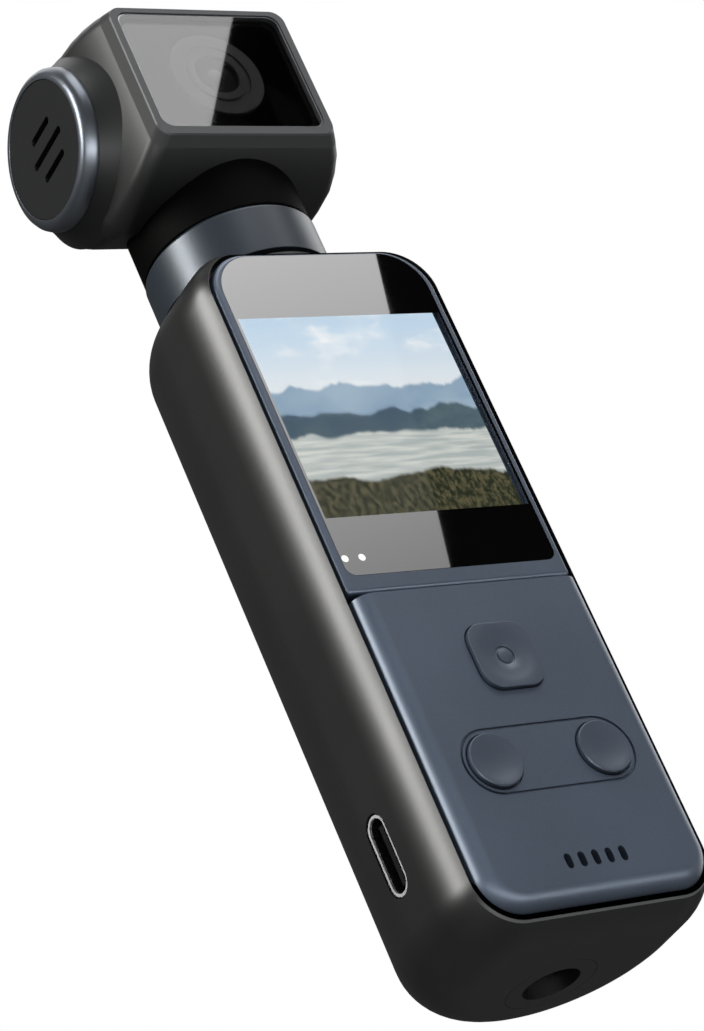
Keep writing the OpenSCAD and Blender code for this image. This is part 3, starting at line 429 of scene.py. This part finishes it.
class CAMERA_OT_grip(bpy.types.Operator):
    """Rear shell, bezel, panel, port and tripod insert with their finishes"""
    bl_idname = "camera_looks.grip"
    bl_label = "Grip"

    # The shell's outline and front edge, and the wider arc that its sides are drawn in on
    HALF = 16.2 * MM
    HIGH = 84.4 * MM
    CORNER = 6.5 * MM
    FRONT = -13.85 * MM
    EDGE = 3.0 * MM
    ARC_START = -8.0 * MM
    ARC_RADIUS = 9.6 * MM
    ARC_CUTS = 6
    OFF_OUTLINE = 0.06 * MM

    # The painted highlight, a pale line along the shell's lip: its outline, its band, how deep it goes and
    # where it fades
    LINE_HALF = 14.7 * MM
    LINE_LOW = 1.5 * MM
    LINE_HIGH = 83.8 * MM
    LINE_CORNER = 5.0 * MM
    LINE_BAND = (0.02 * MM, 0.2 * MM)
    LINE_BACK = -11.5 * MM
    LINE_FADE = (1.8 * MM, 5.0 * MM)
    LIP_HIGHLIGHT_COLOUR = (0.17, 0.175, 0.175)

    # How far below its top the panel is squeezed, and by what share, for the seam under the screen
    SEAM_REACH = 2.0 * MM
    SEAM_SHARE = 0.2

    # How far in the port's steel stays bright; deeper in, it is painted dark as shade inside the port
    PORT_MOUTH = 0.25 * MM

    def execute(self, context):
        sizes = context.scene.grip_sizes
        finish = context.scene.finishes
        # The shell's paint carries a painted highlight: a pale line along its lip below the panel
        shell = satin_paint(
            "shell_satin", finish.shell, 0.36, 0.35, line=(self.painted_lip_highlight, self.LIP_HIGHLIGHT_COLOUR))
        cover = satin_paint("cover_satin", finish.cover, 0.42, 0.3)
        bezel = refined("screen_bezel", sizes.cover_bevel)
        fitted(self.drawn_in_shell(), "grip_shell", "grip", shell, "shell_satin", "rear_shell")
        fitted(bezel, "bezel", "grip", cover, "cover_satin", "screen_bezel")
        fitted(self.seamed_panel(sizes), "panel", "grip", cover, "cover_satin", "key_panel")
        dress(self.port_steel(), "usb_shell")
        dress(moulded_plastic("port_black", (0.003, 0.003, 0.003), 0.6, shine=0.1), "usb_tongue")
        dress(satin_paint("insert_black", tinted(finish.shell, 1.1), 0.4, 0.35), "tripod_insert")
        dress(moulded_plastic("bush_black", (0.008, 0.008, 0.008), 0.55), "pan_bush")
        dress(bare_metal("socket_steel", (0.4, 0.4, 0.41), 0.35), "card_socket")
        dress(moulded_plastic("card_black", (0.012, 0.012, 0.012), 0.5), "memory_card")
        return {"FINISHED"}

    def drawn_in_shell(self):
        """The shell with its sides, but not its top, drawn in on a wider arc than its front edge."""
        bm = refined("rear_shell")
        starts = self.FRONT + self.EDGE
        for cut in range(self.ARC_CUTS):
            place = self.ARC_START + (starts - self.ARC_START) * cut / self.ARC_CUTS
            bmesh.ops.bisect_plane(
                bm, geom=[*bm.verts, *bm.edges, *bm.faces], dist=NEAR / 10, plane_co=(0, place, 0),
                plane_no=(0, 1, 0))
        wide = self.HALF - self.CORNER
        tall = self.HIGH - self.CORNER
        for vert in bm.verts:
            x, y, z = vert.co
            if y > self.ARC_START:
                continue
            core = Vector((max(-wide, min(wide, x)), y, max(self.CORNER, min(tall, z))))
            arm = vert.co - core
            past = max(0.0, starts - y)
            was = self.EDGE - math.sqrt(max(self.EDGE ** 2 - past ** 2, 0.0))
            if arm.length == 0.0 or abs(arm.length - self.CORNER + was) > self.OFF_OUTLINE:
                continue
            now = self.ARC_RADIUS - math.sqrt(self.ARC_RADIUS ** 2 - (self.ARC_START - y) ** 2)
            sideways = 1.0 - max(0.0, arm.z / arm.length)
            vert.co -= arm.normalized() * max(0.0, now - was) * sideways
        smooth_by_angle(bm, 35.0)
        return bm

    def seamed_panel(self, sizes):
        """The panel with its upper end drawn down, so that the seam under the screen shows."""
        bm = refined("key_panel", sizes.cover_bevel)
        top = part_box("key_panel")[1].z
        for vert in bm.verts:
            vert.co.z -= max(0.0, vert.co.z - top + self.SEAM_REACH) * self.SEAM_SHARE
        return bm

    def painted_lip_highlight(self, n, place):
        """Mask of the painted highlight, a thin pale line along the shell's lip below the panel."""
        _, y, z = n.axes(place)
        reach = outline_reach(place, self.LINE_HALF, self.LINE_LOW, self.LINE_HIGH, self.LINE_CORNER)
        past = reach - self.LINE_CORNER
        band = past.more(self.LINE_BAND[0]) * past.less(self.LINE_BAND[1])
        return band * y.less(self.LINE_BACK) * (1.0 - z.step(*self.LINE_FADE))

    def port_steel(self):
        """Steel that is bright at the port's mouth and painted dark inside, painted shade in the port."""
        n = Nodes("port_steel")
        place = n.place()
        # Painted shade: past the mouth the steel is near-black
        mouth = n.axes(place)[0].less(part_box("usb_shell")[0].x + self.PORT_MOUTH)
        grain = n.noise(place, 900.0, 4.0)
        steel = n.blend(grain, (0.5, 0.5, 0.51), (0.62, 0.62, 0.63))
        return n.surface(
            Base_Color=n.blend(mouth, (0.03, 0.03, 0.03), steel),
            Metallic=1.0,
            Roughness=grain * 0.15 + 0.42)


class CAMERA_OT_keys(bpy.types.Operator):
    """The three keys and the pieces seen through the panel's openings"""
    bl_idname = "camera_looks.keys"
    bl_label = "Keys"

    # Profile of a round key: face, flange, stem and dish
    FACE_RADIUS = 3.05 * MM
    FACE_RISE = 1.9 * MM
    FLANGE_DEEP = 0.5 * MM
    STEM_RADIUS = 1.0 * MM
    DISH_DEEP = 0.3 * MM
    DISH_RIM = 0.1 * MM
    DISH_STEPS = 5

    def execute(self, context):
        sizes = context.scene.grip_sizes
        finish = context.scene.finishes
        plastic = satin_paint("key_satin", tinted(finish.cover, 0.85), 0.4, 0.2)
        square = refined("record_key", sizes.key_bevel, 25.0)
        fitted(square, "record_key_cap", "record_key", plastic, "key_plastic", "record_key")
        for node in ("menu_key", "power_key"):
            fitted(self.round_cap(node, sizes), node + "_cap", node, plastic, "key_plastic", node)
        dress(moulded_plastic("foam_black", (0.002, 0.002, 0.002), 0.9), "speaker_gasket")
        dress(moulded_plastic("speaker_black", (0.002, 0.002, 0.002), 0.8), "speaker")
        return {"FINISHED"}

    def round_cap(self, node, sizes):
        """A round key with its dished face, stem and flange turned as one profile."""
        low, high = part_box(node)
        middle = (low + high) / 2
        flange = (high.x - low.x) / 2
        deep = high.y - low.y
        back = deep - self.FACE_RISE
        face = self.FACE_RADIUS
        edge = sizes.key_bevel
        dish = face - edge - self.DISH_RIM
        shoulder = back + self.FLANGE_DEEP
        points = [
            (0.0, deep), (self.STEM_RADIUS, deep), (self.STEM_RADIUS, shoulder), (flange, shoulder),
            (flange, back), (face, back), (face, edge), (face - edge, 0.0)]
        for step in range(self.DISH_STEPS, -1, -1):
            share = step / self.DISH_STEPS
            points.append((dish * share, self.DISH_DEEP * (1.0 - share * share)))
        return turned(points, (middle.x, low.y, middle.z), (0, 1, 0), 30.0)


class CAMERA_OT_screen(bpy.types.Operator):
    """The lit picture and the glass in front of it"""
    bl_idname = "camera_looks.screen"
    bl_label = "Screen"

    # The display is thinner by this, so that its faces don't lie in its neighbours' faces
    AIR = 0.08 * MM

    # Round windows of the two lights in the print, in mm: middle, half their distance and radius
    LIGHTS = (-11.8, 43.9)
    LIGHTS_APART = 1.05
    LIGHTS_RADIUS = 0.4123

    # How deep the print is in the glass, and the height above which the glass behind it is clear
    PRINT_DEEP = 0.1 * MM
    CLEAR_ABOVE = 45.5 * MM

    def execute(self, context):
        sizes = context.scene.grip_sizes
        fitted(self.thin_display(), "lit_display", "grip", self.picture(sizes), "display", "display_panel")
        dress(self.glass(sizes), "screen_glass")
        n = Nodes("light_pipe")
        grain = n.noise(n.place(), 2000.0)
        pipe = n.surface(
            Base_Color=(0.8, 0.8, 0.75),
            Roughness=grain * 0.1 + 0.4,
            Emission_Color=(1.0, 1.0, 0.92),
            Emission_Strength=0.9)
        dress(pipe, "indicator_lights")
        return {"FINISHED"}

    def thin_display(self):
        """The display, a little thinner about its middle."""
        low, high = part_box("display_panel")
        middle = (low + high) / 2
        deep = high.y - low.y
        bm = refined("display_panel")
        bmesh.ops.translate(bm, vec=-middle, verts=bm.verts)
        bmesh.ops.scale(bm, vec=(1.0, (deep - self.AIR) / deep, 1.0), verts=bm.verts)
        bmesh.ops.translate(bm, vec=middle, verts=bm.verts)
        return bm

    def picture(self, sizes):
        """A made-up landscape: pale sky, far blue ridges, dark hills, a pale lake and its bank."""
        n = Nodes("display_picture")
        x, _, z = n.axes(n.place())
        across = x / sizes.picture_half
        up = (z - sizes.picture_low) / (sizes.picture_high - sizes.picture_low)

        def patches(wide, high, shift, detail, rough):
            """Noise at its own scales across and up the picture."""
            return n.noise(
                n.add("ShaderNodeCombineXYZ", None, across * wide, up * high, shift), 1.0, detail, rough)

        cloud = patches(1.5, 5.0, 3.0, 5.0, 0.6)
        trees = patches(22.0, 26.0, 0.0, 4.0, 0.65)
        streaks = patches(2.0, 40.0, 9.0, 3.0, 0.5)
        sky = n.blend(up.step(0.55, 1.0), (0.80, 0.84, 0.86), (0.55, 0.70, 0.84))
        sky = n.blend(cloud.step(0.5, 0.75), sky, (0.93, 0.94, 0.94))
        far = n.blend(cloud.step(0.3, 0.8), (0.25, 0.36, 0.48), (0.38, 0.50, 0.60))
        near = n.blend(cloud.step(0.35, 0.7), (0.05, 0.09, 0.13), (0.10, 0.15, 0.17))
        lake = n.blend(streaks.step(0.35, 0.7), (0.42, 0.47, 0.46), (0.66, 0.68, 0.64))
        bank = n.blend(trees.step(0.4, 0.65), (0.025, 0.03, 0.018), (0.11, 0.10, 0.055))

        # From far to near: tone, height of its crest line, relief, scale across and shift
        layers = (
            (far, 0.66, 0.28, 1.6, 4.0),
            (near, 0.53, 0.22, 2.2, 17.0),
            (lake, 0.42, 0.12, 3.0, 31.0),
            (bank, 0.21, 0.22, 1.4, 47.0),
        )
        shade = sky
        for tone, height, relief, scale, shift in layers:
            line = n.add("ShaderNodeCombineXYZ", None, across * scale + shift, 0.0, 0.0)
            crest = n.noise(line, 1.0, 6.0, 0.55)
            above = (up - (crest - 0.5) * relief - height).step(-0.012, 0.012)
            shade = n.blend(above, tone, shade)
        return n.surface(
            Base_Color=(0.0, 0.0, 0.0),
            Roughness=0.5,
            Specular_IOR_Level=0.0,
            Emission_Color=shade,
            Emission_Strength=1.0)

    def glass(self, sizes):
        """Glossy black cover glass, printed at its front but for the picture, and clear at its back."""
        n = Nodes("cover_glass")
        place = n.place()
        x, y, z = n.axes(place)
        film = n.noise(place, 260.0)
        side = (x * 1000.0 - self.LIGHTS[0]).size() - self.LIGHTS_APART
        rise = z * 1000.0 - self.LIGHTS[1]
        dots = (side * side + rise * rise).less(self.LIGHTS_RADIUS ** 2)
        window = x.size().less(sizes.picture_half) * z.more(sizes.picture_low) * z.less(sizes.picture_high)
        behind = y.more(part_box("screen_glass")[0].y + self.PRINT_DEEP) * z.more(self.CLEAR_ABOVE)
        return n.surface(
            Base_Color=n.blend(film, (0.0015, 0.0015, 0.0015), (0.0025, 0.0025, 0.0025)),
            Roughness=film * 0.01 + 0.01,
            Alpha=1.0 - window.either(behind) * 0.97,
            Emission_Color=n.blend(dots, (0.0, 0.0, 0.0), (0.95, 0.95, 0.9)),
            Emission_Strength=1.0,
            **GLAZED)


class CAMERA_OT_neck(bpy.types.Operator):
    """The turning ring of the neck and its spindle"""
    bl_idname = "camera_looks.neck"
    bl_label = "Neck"

    def execute(self, context):
        paint = satin_paint("ring_satin", context.scene.finishes.ring, 0.36, 0.4)
        ring = refined("neck_ring", context.scene.head_sizes.bevel)
        fitted(ring, "turning_ring", "head", paint, "ring_satin", "neck_ring")
        dress(bare_metal("spindle_alloy", (0.4, 0.4, 0.41), 0.35), "pan_spindle")
        return {"FINISHED"}


class CAMERA_OT_head(bpy.types.Operator):
    """The head's housing, window and lens"""
    bl_idname = "camera_looks.head"
    bl_label = "Head"

    # Sections ahead of the round back, in mm: half width, low, high, corners below and above, depth
    SECTIONS = (
        (12.254, 99.97, 119.632, 1.6, 2.0, -11.1),
        (12.761, 99.156, 119.966, 1.6, 2.2, -9.8),
        (13.16, 98.25, 120.48, 1.7, 2.4, -7.8),
        (13.447, 97.62, 120.873, 1.8, 2.5, -5.5),
        (13.495, 97.33, 121.2, 1.9, 2.5, -2.4),
        (13.5, 97.27, 121.35, 2.1, 2.4, 0.3),
        (13.5, 98.8, 121.4, 2.3, 2.3, 1.25),
    )

    # Turn round the back, from straight up, at which the chin leaves the circle
    CHIN_DEG = 155.5

    # The stub under the head, in mm: radius, height, wall, lower edge and upper slope
    STUB_RADIUS = 10.1
    STUB_HIGH = 10.9
    STUB_WALL = 1.0
    STUB_EDGE = 0.12
    STUB_SLOPE = 0.5

    # The window's corner and the width of the painted highlight round its glass, and how deep the frame's
    # front goes, which stays paler than the sides painted darker as shade
    WINDOW_CORNER = 1.4 * MM
    WINDOW_HIGHLIGHT = 0.13 * MM
    FRAME_FACE = 0.2 * MM

    def execute(self, context):
        sizes = context.scene.head_sizes
        finish = context.scene.finishes
        paint = satin_paint("head_satin", tinted(finish.shell, 0.9), 0.44, 0.35, shine=0.33)
        # Near-black plastic for the stub: painted shade under the head's overhang
        black = moulded_plastic("stub_painted_shade", (0.0012, 0.0012, 0.0012), 0.6, 0.1, shine=0.02)
        rim = refined("window_frame", 1.6 * sizes.bevel, 30.0)
        fitted(
            self.housing(sizes), "head_shell", "head", paint, "shell_satin", "head_housing",
            "head_rear_cover")
        fitted(self.stub(), "head_stub", "head", black, "shell_satin")
        fitted(rim, "front_frame", "head", self.frame_paint(), "frame_satin", "window_frame")
        dress(self.window(), "window_glass")
        dress(moulded_plastic("mask_black", (0.0005, 0.0005, 0.0005), 0.7, 0.1, shine=0.0), "window_mask")
        dress(moulded_plastic("lens_ring_grey", (0.2, 0.2, 0.203), 0.35), "lens_ring")
        dress(self.coated_lens(), "front_lens")
        dress(moulded_plastic("barrel_black", (0.003, 0.003, 0.003), 0.6, shine=0.1), "lens_barrel")
        return {"FINISHED"}

    def housing(self, sizes):
        """Sections from the window back over the flanks, and a half turn round the back."""
        bm = bmesh.new()
        faces = [
            rounded_outline(bm, *(size * MM for size in row), sizes.corner_steps) for row in self.SECTIONS]
        outlines = [list(face.edges) for face in faces]
        bmesh.ops.delete(bm, geom=faces[1:], context="FACES_ONLY")
        for front, back in zip(outlines, outlines[1:]):
            bmesh.ops.bridge_loops(bm, edges=front + back)
        _, low, high, _, _, depth = (size * MM for size in self.SECTIONS[-1])
        middle = Vector((0.0, depth, (low + high) / 2))
        upper = [edge for edge in outlines[-1] if all(vert.co.z > middle.z - NEAR for vert in edge.verts)]
        ends = list(dict.fromkeys(vert for edge in upper for vert in edge.verts))
        bmesh.ops.spin(
            bm, geom=upper + ends, cent=middle, axis=(-1, 0, 0), angle=math.pi, steps=sizes.back_steps,
            use_merge=False, use_duplicate=False)
        bmesh.ops.remove_doubles(bm, verts=bm.verts, dist=NEAR)
        self.straighten_chin(bm, middle)
        bmesh.ops.recalc_face_normals(bm, faces=bm.faces)
        settled(bm)
        smooth_by_angle(bm, 40.0)
        return bm

    def straighten_chin(self, bm, middle):
        """Below the back the outline leaves the circle on a straight line."""
        leaves = math.radians(self.CHIN_DEG)
        for vert in bm.verts:
            arm = vert.co - middle
            angle = math.atan2(max(arm.y, 0.0), arm.z)
            if arm.y > -NEAR and arm.z < -NEAR and angle > leaves:
                vert.co.y = middle.y + arm.y / math.cos(angle - leaves)
                vert.co.z = middle.z + arm.z / math.cos(angle - leaves)

    def stub(self):
        """The drum that carries the head on the neck's ring."""
        outer = self.STUB_RADIUS
        inner = outer - self.STUB_WALL
        high = self.STUB_HIGH
        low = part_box("head_housing")[0].z
        profile = (
            (inner, 0.0), (outer - self.STUB_EDGE, 0.0), (outer, self.STUB_EDGE),
            (outer, high - self.STUB_SLOPE), (outer - self.STUB_SLOPE, high), (inner, high))
        points = [(radius * MM, height * MM + low) for radius, height in profile]
        return turned(points, (0, 0, 0), (0, 0, 1), 50.0, 128)

    def frame_paint(self):
        """Satin paint whose drawn-in sides are painted darker than its front, painted shade that dulls their
        highlight.
        """
        n = Nodes("frame_satin")
        place = n.place()
        # Painted shade: the drawn-in sides, behind the front band, get a darker colour
        face = n.axes(place)[1].less(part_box("window_frame")[0].y + self.FRAME_FACE)
        grain = n.noise(place, FLECKS)
        pale = n.blend(grain, (0.032, 0.034, 0.036), (0.040, 0.042, 0.045))
        return n.surface(
            Base_Color=n.blend(face, (0.010, 0.0105, 0.011), pale),
            Roughness=0.6 - face * 0.2 + grain * 0.06,
            Specular_IOR_Level=0.25,
            Normal=n.bump(grain, 0.01 * MM, 0.25))

    def window(self):
        """Clear glass with a painted highlight, a thin pale line, round its edge."""
        n = Nodes("window_clear")
        place = n.place()
        low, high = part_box("window_glass")
        reach = outline_reach(place, high.x, low.z, high.z, self.WINDOW_CORNER)
        # Painted highlight: a pale band round the glass's edge
        edge = reach.more(self.WINDOW_CORNER - self.WINDOW_HIGHLIGHT)
        film = n.noise(place, FILM)
        return n.surface(
            Base_Color=n.blend(edge, (0.001, 0.001, 0.001), (0.2, 0.205, 0.21)),
            Roughness=film * 0.01 + 0.015,
            Alpha=edge * 0.5 + 0.5,
            **GLAZED)

    def coated_lens(self):
        """Clear coated glass that hides most of what is behind it."""
        n = Nodes("lens_coated")
        film = n.noise(n.place(), FILM)
        return n.surface(
            Base_Color=(0.02, 0.024, 0.032), Roughness=film * 0.01 + 0.015, Alpha=0.85, **GLAZED)


class CAMERA_OT_side_cap(bpy.types.Operator):
    """The round cap on the head's left side"""
    bl_idname = "camera_looks.side_cap"
    bl_label = "Side Cap"

    # The boss's flare in mm, each as radius and distance from the middle: its foot, pull and top
    FLARE = ((11.25, 12.5), (10.0, 13.9), (9.3, 15.3))
    FLARE_STEPS = 10
    CENTRE = (0.0, 1.25 * MM, 110.1 * MM)

    def execute(self, context):
        sizes = context.scene.head_sizes
        finish = context.scene.finishes
        dark = moulded_plastic("boss_black", tinted(finish.cap, 0.6), 0.45, shine=0.22)
        bright = satin_paint("ring_bright", (0.085, 0.095, 0.11), 0.33, 0.8, spread=0.04)
        face = moulded_plastic("cap_satin", tinted(finish.cap, 0.7), 0.5, shine=0.12)
        ring = refined("side_ring", sizes.bevel, 25.0)
        cap = refined("side_cap", sizes.bevel)
        fitted(self.boss(), "cap_boss", "head", dark, "shell_satin", "side_boss")
        fitted(ring, "cap_ring", "head", bright, "ring_bright", "side_ring")
        fitted(cap, "cap_face", "head", face, "cap_satin", "side_cap")
        dress(bare_metal("microphone_can", (0.3, 0.3, 0.3), 0.4, brushed=False), "microphone")
        return {"FINISHED"}

    def boss(self):
        """The boss, turned from a curve that draws in from its foot to its top."""
        curve = []
        for step in range(self.FLARE_STEPS + 1):
            t = step / self.FLARE_STEPS
            shares = ((1 - t) ** 2, 2 * t * (1 - t), t * t)
            curve.append([
                sum(share * point[i] for share, point in zip(shares, self.FLARE)) for i in range(2)])
        profile = [(0.0, curve[0][1]), *curve, (0.0, curve[-1][1])]
        points = [(radius * MM, out * MM) for radius, out in profile]
        return turned(points, self.CENTRE, (-1, 0, 0), 40.0, 160)


class CAMERA_OT_inside(bpy.types.Operator):
    """Finishes of the pieces inside"""
    bl_idname = "camera_looks.inside"
    bl_label = "Inside"

    PLAIN = {
        "black_plastic": ((0.012, 0.012, 0.012), 0.55, ("main_chips", "lens_holder", "rear_lens")),
        "board_green": ((0.02, 0.10, 0.05), 0.45, ("key_board", "main_board", "sensor_board")),
        "connector_ivory": ((0.60, 0.58, 0.50), 0.5, ("board_connector",)),
        "battery_foil": ((0.05, 0.12, 0.35), 0.35, ("battery",)),
        "pad_black": ((0.02, 0.02, 0.02), 0.9, ("battery_pad",)),
        "silicone_grey": ((0.25, 0.25, 0.25), 0.7, ("key_mat",)),
        "sensor_dark": ((0.03, 0.07, 0.07), 0.2, ("image_sensor",)),
        "film_amber": ((0.45, 0.18, 0.04), 0.4, ("sensor_flex",)),
    }
    METAL = {
        "sheet_alloy": ((0.55, 0.56, 0.58), 0.35, ("display_holder",)),
        "screw_steel": ((0.50, 0.50, 0.50), 0.3, (
            "key_board_screws", "main_board_screws", "spindle_screws", "retaining_clip", "key_switches")),
        "washer_bronze": ((0.60, 0.42, 0.18), 0.3, ("friction_washer",)),
    }

    def execute(self, context):
        for finishes, make in ((self.PLAIN, moulded_plastic), (self.METAL, bare_metal)):
            for name, (colour, rough, nodes) in finishes.items():
                dress(make(name, colour, rough), *nodes)
        return {"FINISHED"}


class CAMERA_OT_studio(bpy.types.Operator):
    """Camera, world, floor, lamps and the cards that the glass reflects"""
    bl_idname = "camera_looks.studio"
    bl_label = "Studio"

    # The camera's place in mm and its axes, and the photograph's size in pixels
    PLACE = Vector((-207.581, -258.21, -107.948))
    RIGHT = Vector((0.82461612, -0.43312291, -0.3638857))
    DOWN = Vector((-0.0599682, 0.57270191, -0.81756733))
    AHEAD = Vector((0.56250518, 0.69600077, 0.44628563))
    FRAME_PX = (704, 1031)
    SENSOR = 36.0

    # Soft boxes aimed at one point, in metres: name, place, size, strength in watts and colour
    AIM = Vector((0.0, 0.0, 0.06))
    BOXES = (
        ("left_box", (-0.82, 0.015, 0.47), (0.25, 0.6), 14.0, (1.0, 0.99, 0.96)),
        ("front_box", (0.3, -0.6, 1.1), (1.2, 0.8), 15.5, (1.0, 1.0, 1.0)),
        ("low_box", (-0.1, -1.1, 0.08), (1.2, 0.3), 6.0, (0.97, 0.98, 1.0)),
        ("right_box", (0.95, 0.1, 0.35), (0.6, 0.9), 4.0, (1.0, 1.0, 1.0)),
        ("top_box", (0.15, 0.3, 1.0), (0.6, 0.6), 2.0, (1.0, 1.0, 1.0)),
    )

    # Cards: name, depth of the mirror in mm, strength at the lower and upper edge, corners in pixels
    CARDS = (
        ("head_card", -12.3, 3.4, 3.4, ((60, -40), (244.2, -40), (200.2, 180), (60, 180))),
        ("head_flag", -12.3, 0.0, 0.0, ((244.2, -40), (420, -40), (420, 180), (200.2, 180))),
        ("screen_card", -13.4, 1.1, 3.8, ((60, 225), (368.7, 225), (470.3, 650), (60, 650))),
        ("screen_flag", -13.4, 0.0, 0.0, ((368.7, 225), (720, 225), (720, 650), (470.3, 650))),
    )
    CARDS_AWAY = 700.0

    # A strip below the camera that the side cap's ring reflects, in metres
    STRIP = ((-0.6, -0.22, -0.118), (0.28, -0.22, -0.118), (0.28, -0.37, -0.112), (-0.6, -0.37, -0.112))
    STRIP_GLOW = 13.0

    # The floor's half width, and the distances between which it fades to plain white
    FLOOR_HALF = 3.0
    FLOOR_FADE = (0.15, 0.6)

    def execute(self, context):
        studio = context.scene.studio
        self.camera(context, studio)
        self.world(context, studio)
        self.floor(studio)
        self.lamps()
        self.cards(studio)
        context.scene.view_settings.view_transform = "Standard"
        return {"FINISHED"}

    def camera(self, context, studio):
        """The camera as it was fitted to the photograph."""
        data = bpy.data.cameras.new("photo_camera")
        data.sensor_fit = "AUTO"
        data.sensor_width = self.SENSOR
        data.lens = studio.focal
        data.clip_start = 0.01
        data.clip_end = 50.0
        camera = linked("photo_camera", data)
        turn = Matrix((self.RIGHT, -self.DOWN, -self.AHEAD)).transposed()
        camera.matrix_world = Matrix.Translation(self.PLACE * MM) @ turn.to_4x4()
        context.scene.camera = camera

    def world(self, context, studio):
        """White for the camera and through glass, soft grey as light, and dark in reflections."""
        world = bpy.data.worlds.new("pale_studio")
        n = Nodes("pale_studio", world)
        camera, glossy, through = (
            n.add("ShaderNodeLightPath", out=ray)
            for ray in ("Is Camera Ray", "Is Glossy Ray", "Is Transmission Ray"))
        seen = camera.either(through)
        other = studio.fill - glossy * (studio.fill - studio.gloss)
        n.glow(seen + (1.0 - seen) * other, "ShaderNodeBackground")
        context.scene.world = world

    def floor(self, studio):
        """A floor that is white for the camera, and dark for the light that it throws back."""
        bm = bmesh.new()
        bmesh.ops.create_grid(bm, x_segments=1, y_segments=1, size=self.FLOOR_HALF)
        bmesh.ops.translate(bm, vec=(0, 0, studio.floor_drop), verts=bm.verts)
        n = Nodes("floor_pale")
        seen = n.add("ShaderNodeLightPath", out="Is Camera Ray")
        x, y, _ = n.axes(n.place())
        away = ((x * x + y * y) ** 0.5).step(*self.FLOOR_FADE)
        pale = n.surface(
            Base_Color=n.blend(seen, (0.19, 0.19, 0.19), (0.85, 0.85, 0.85)),
            Roughness=0.9,
            Specular_IOR_Level=0.0,
            Emission_Color=(1.0, 1.0, 1.0),
            Emission_Strength=seen * (away * 0.6 + 0.4))
        meshed(bm, "floor", pale)

    def lamps(self):
        """Soft boxes that all point at the aim. The low one isn't seen in reflections."""
        for name, place, (width, height), watts, colour in self.BOXES:
            data = bpy.data.lights.new(name, "AREA")
            data.shape = "RECTANGLE"
            data.size = width
            data.size_y = height
            data.energy = watts
            data.color = colour
            lamp = linked(name, data)
            lamp.location = place
            lamp.rotation_mode = "QUATERNION"
            lamp.rotation_quaternion = (self.AIM - Vector(place)).to_track_quat("-Z", "Y")
            lamp.visible_glossy = name != "low_box"

    def cards(self, studio):
        """Bright cards and dark flags, seen only in reflections, that halve the look of each glass."""
        for name, mirror, dim, bright, corners in self.CARDS:
            places = [self.reflected(studio, corner, mirror) for corner in corners]
            self.card(name, places, dim, bright)
        self.card("low_strip", self.STRIP, self.STRIP_GLOW, self.STRIP_GLOW)

    def reflected(self, studio, corner, mirror):
        """The place that the camera sees at a pixel in an upright mirror, at the cards' distance."""
        pixel = self.SENSOR / self.FRAME_PX[1] / studio.focal
        side, drop = ((at - whole / 2) * pixel for at, whole in zip(corner, self.FRAME_PX))
        way = self.AHEAD + side * self.RIGHT + drop * self.DOWN
        hit = self.PLACE + way * ((mirror - self.PLACE.y) / way.y)
        flip = Vector((1.0, -1.0, 1.0))
        way *= flip
        middle = self.AHEAD * flip
        reach = (self.CARDS_AWAY - hit.dot(middle)) / way.dot(middle)
        return (hit + way * reach) * MM

    def card(self, name, places, dim, bright):
        """A glowing card of four corners, with its strength at its lower and at its upper edge."""
        bm = bmesh.new()
        bm.faces.new([bm.verts.new(place) for place in places])
        heights = [place[2] for place in places]
        low = min(heights)
        n = Nodes(name)
        rise = n.axes(n.place())[2] - low
        card = meshed(bm, name, n.glow(rise * ((bright - dim) / (max(heights) - low)) + dim))
        card.visible_camera = False
        card.visible_diffuse = False
        card.visible_shadow = False
        card.visible_transmission = False


OPERATORS = (
    CAMERA_OT_grip, CAMERA_OT_keys, CAMERA_OT_screen, CAMERA_OT_neck, CAMERA_OT_head,
    CAMERA_OT_side_cap, CAMERA_OT_inside, CAMERA_OT_studio,
)


class CAMERA_PT_looks(bpy.types.Panel):
    """Sizes, finishes and steps of the pocket camera's looks"""
    bl_label = "Pocket Camera"
    bl_idname = "CAMERA_PT_looks"
    bl_space_type = "VIEW_3D"
    bl_region_type = "UI"
    bl_category = "Pocket Camera"

    def draw(self, context):
        for name in GROUPS:
            group = getattr(context.scene, name)
            box = self.layout.box()
            for key in group.bl_rna.properties.keys():
                if key not in {"rna_type", "name"}:
                    box.prop(group, key)
        for operator in OPERATORS:
            self.layout.operator(operator.bl_idname)


CLASSES = (*GROUPS.values(), *OPERATORS, CAMERA_PT_looks)


def register():
    for cls in CLASSES:
        bpy.utils.register_class(cls)
    for name, group in GROUPS.items():
        setattr(bpy.types.Scene, name, PointerProperty(type=group))


def unregister():
    for name in GROUPS:
        delattr(bpy.types.Scene, name)
    for cls in reversed(CLASSES):
        bpy.utils.unregister_class(cls)


def main():
    """Makes everything in order."""
    register()
    for operator in OPERATORS:
        getattr(bpy.ops.camera_looks, operator.bl_idname.split(".")[1])()


if __name__ == "__main__":
    main()
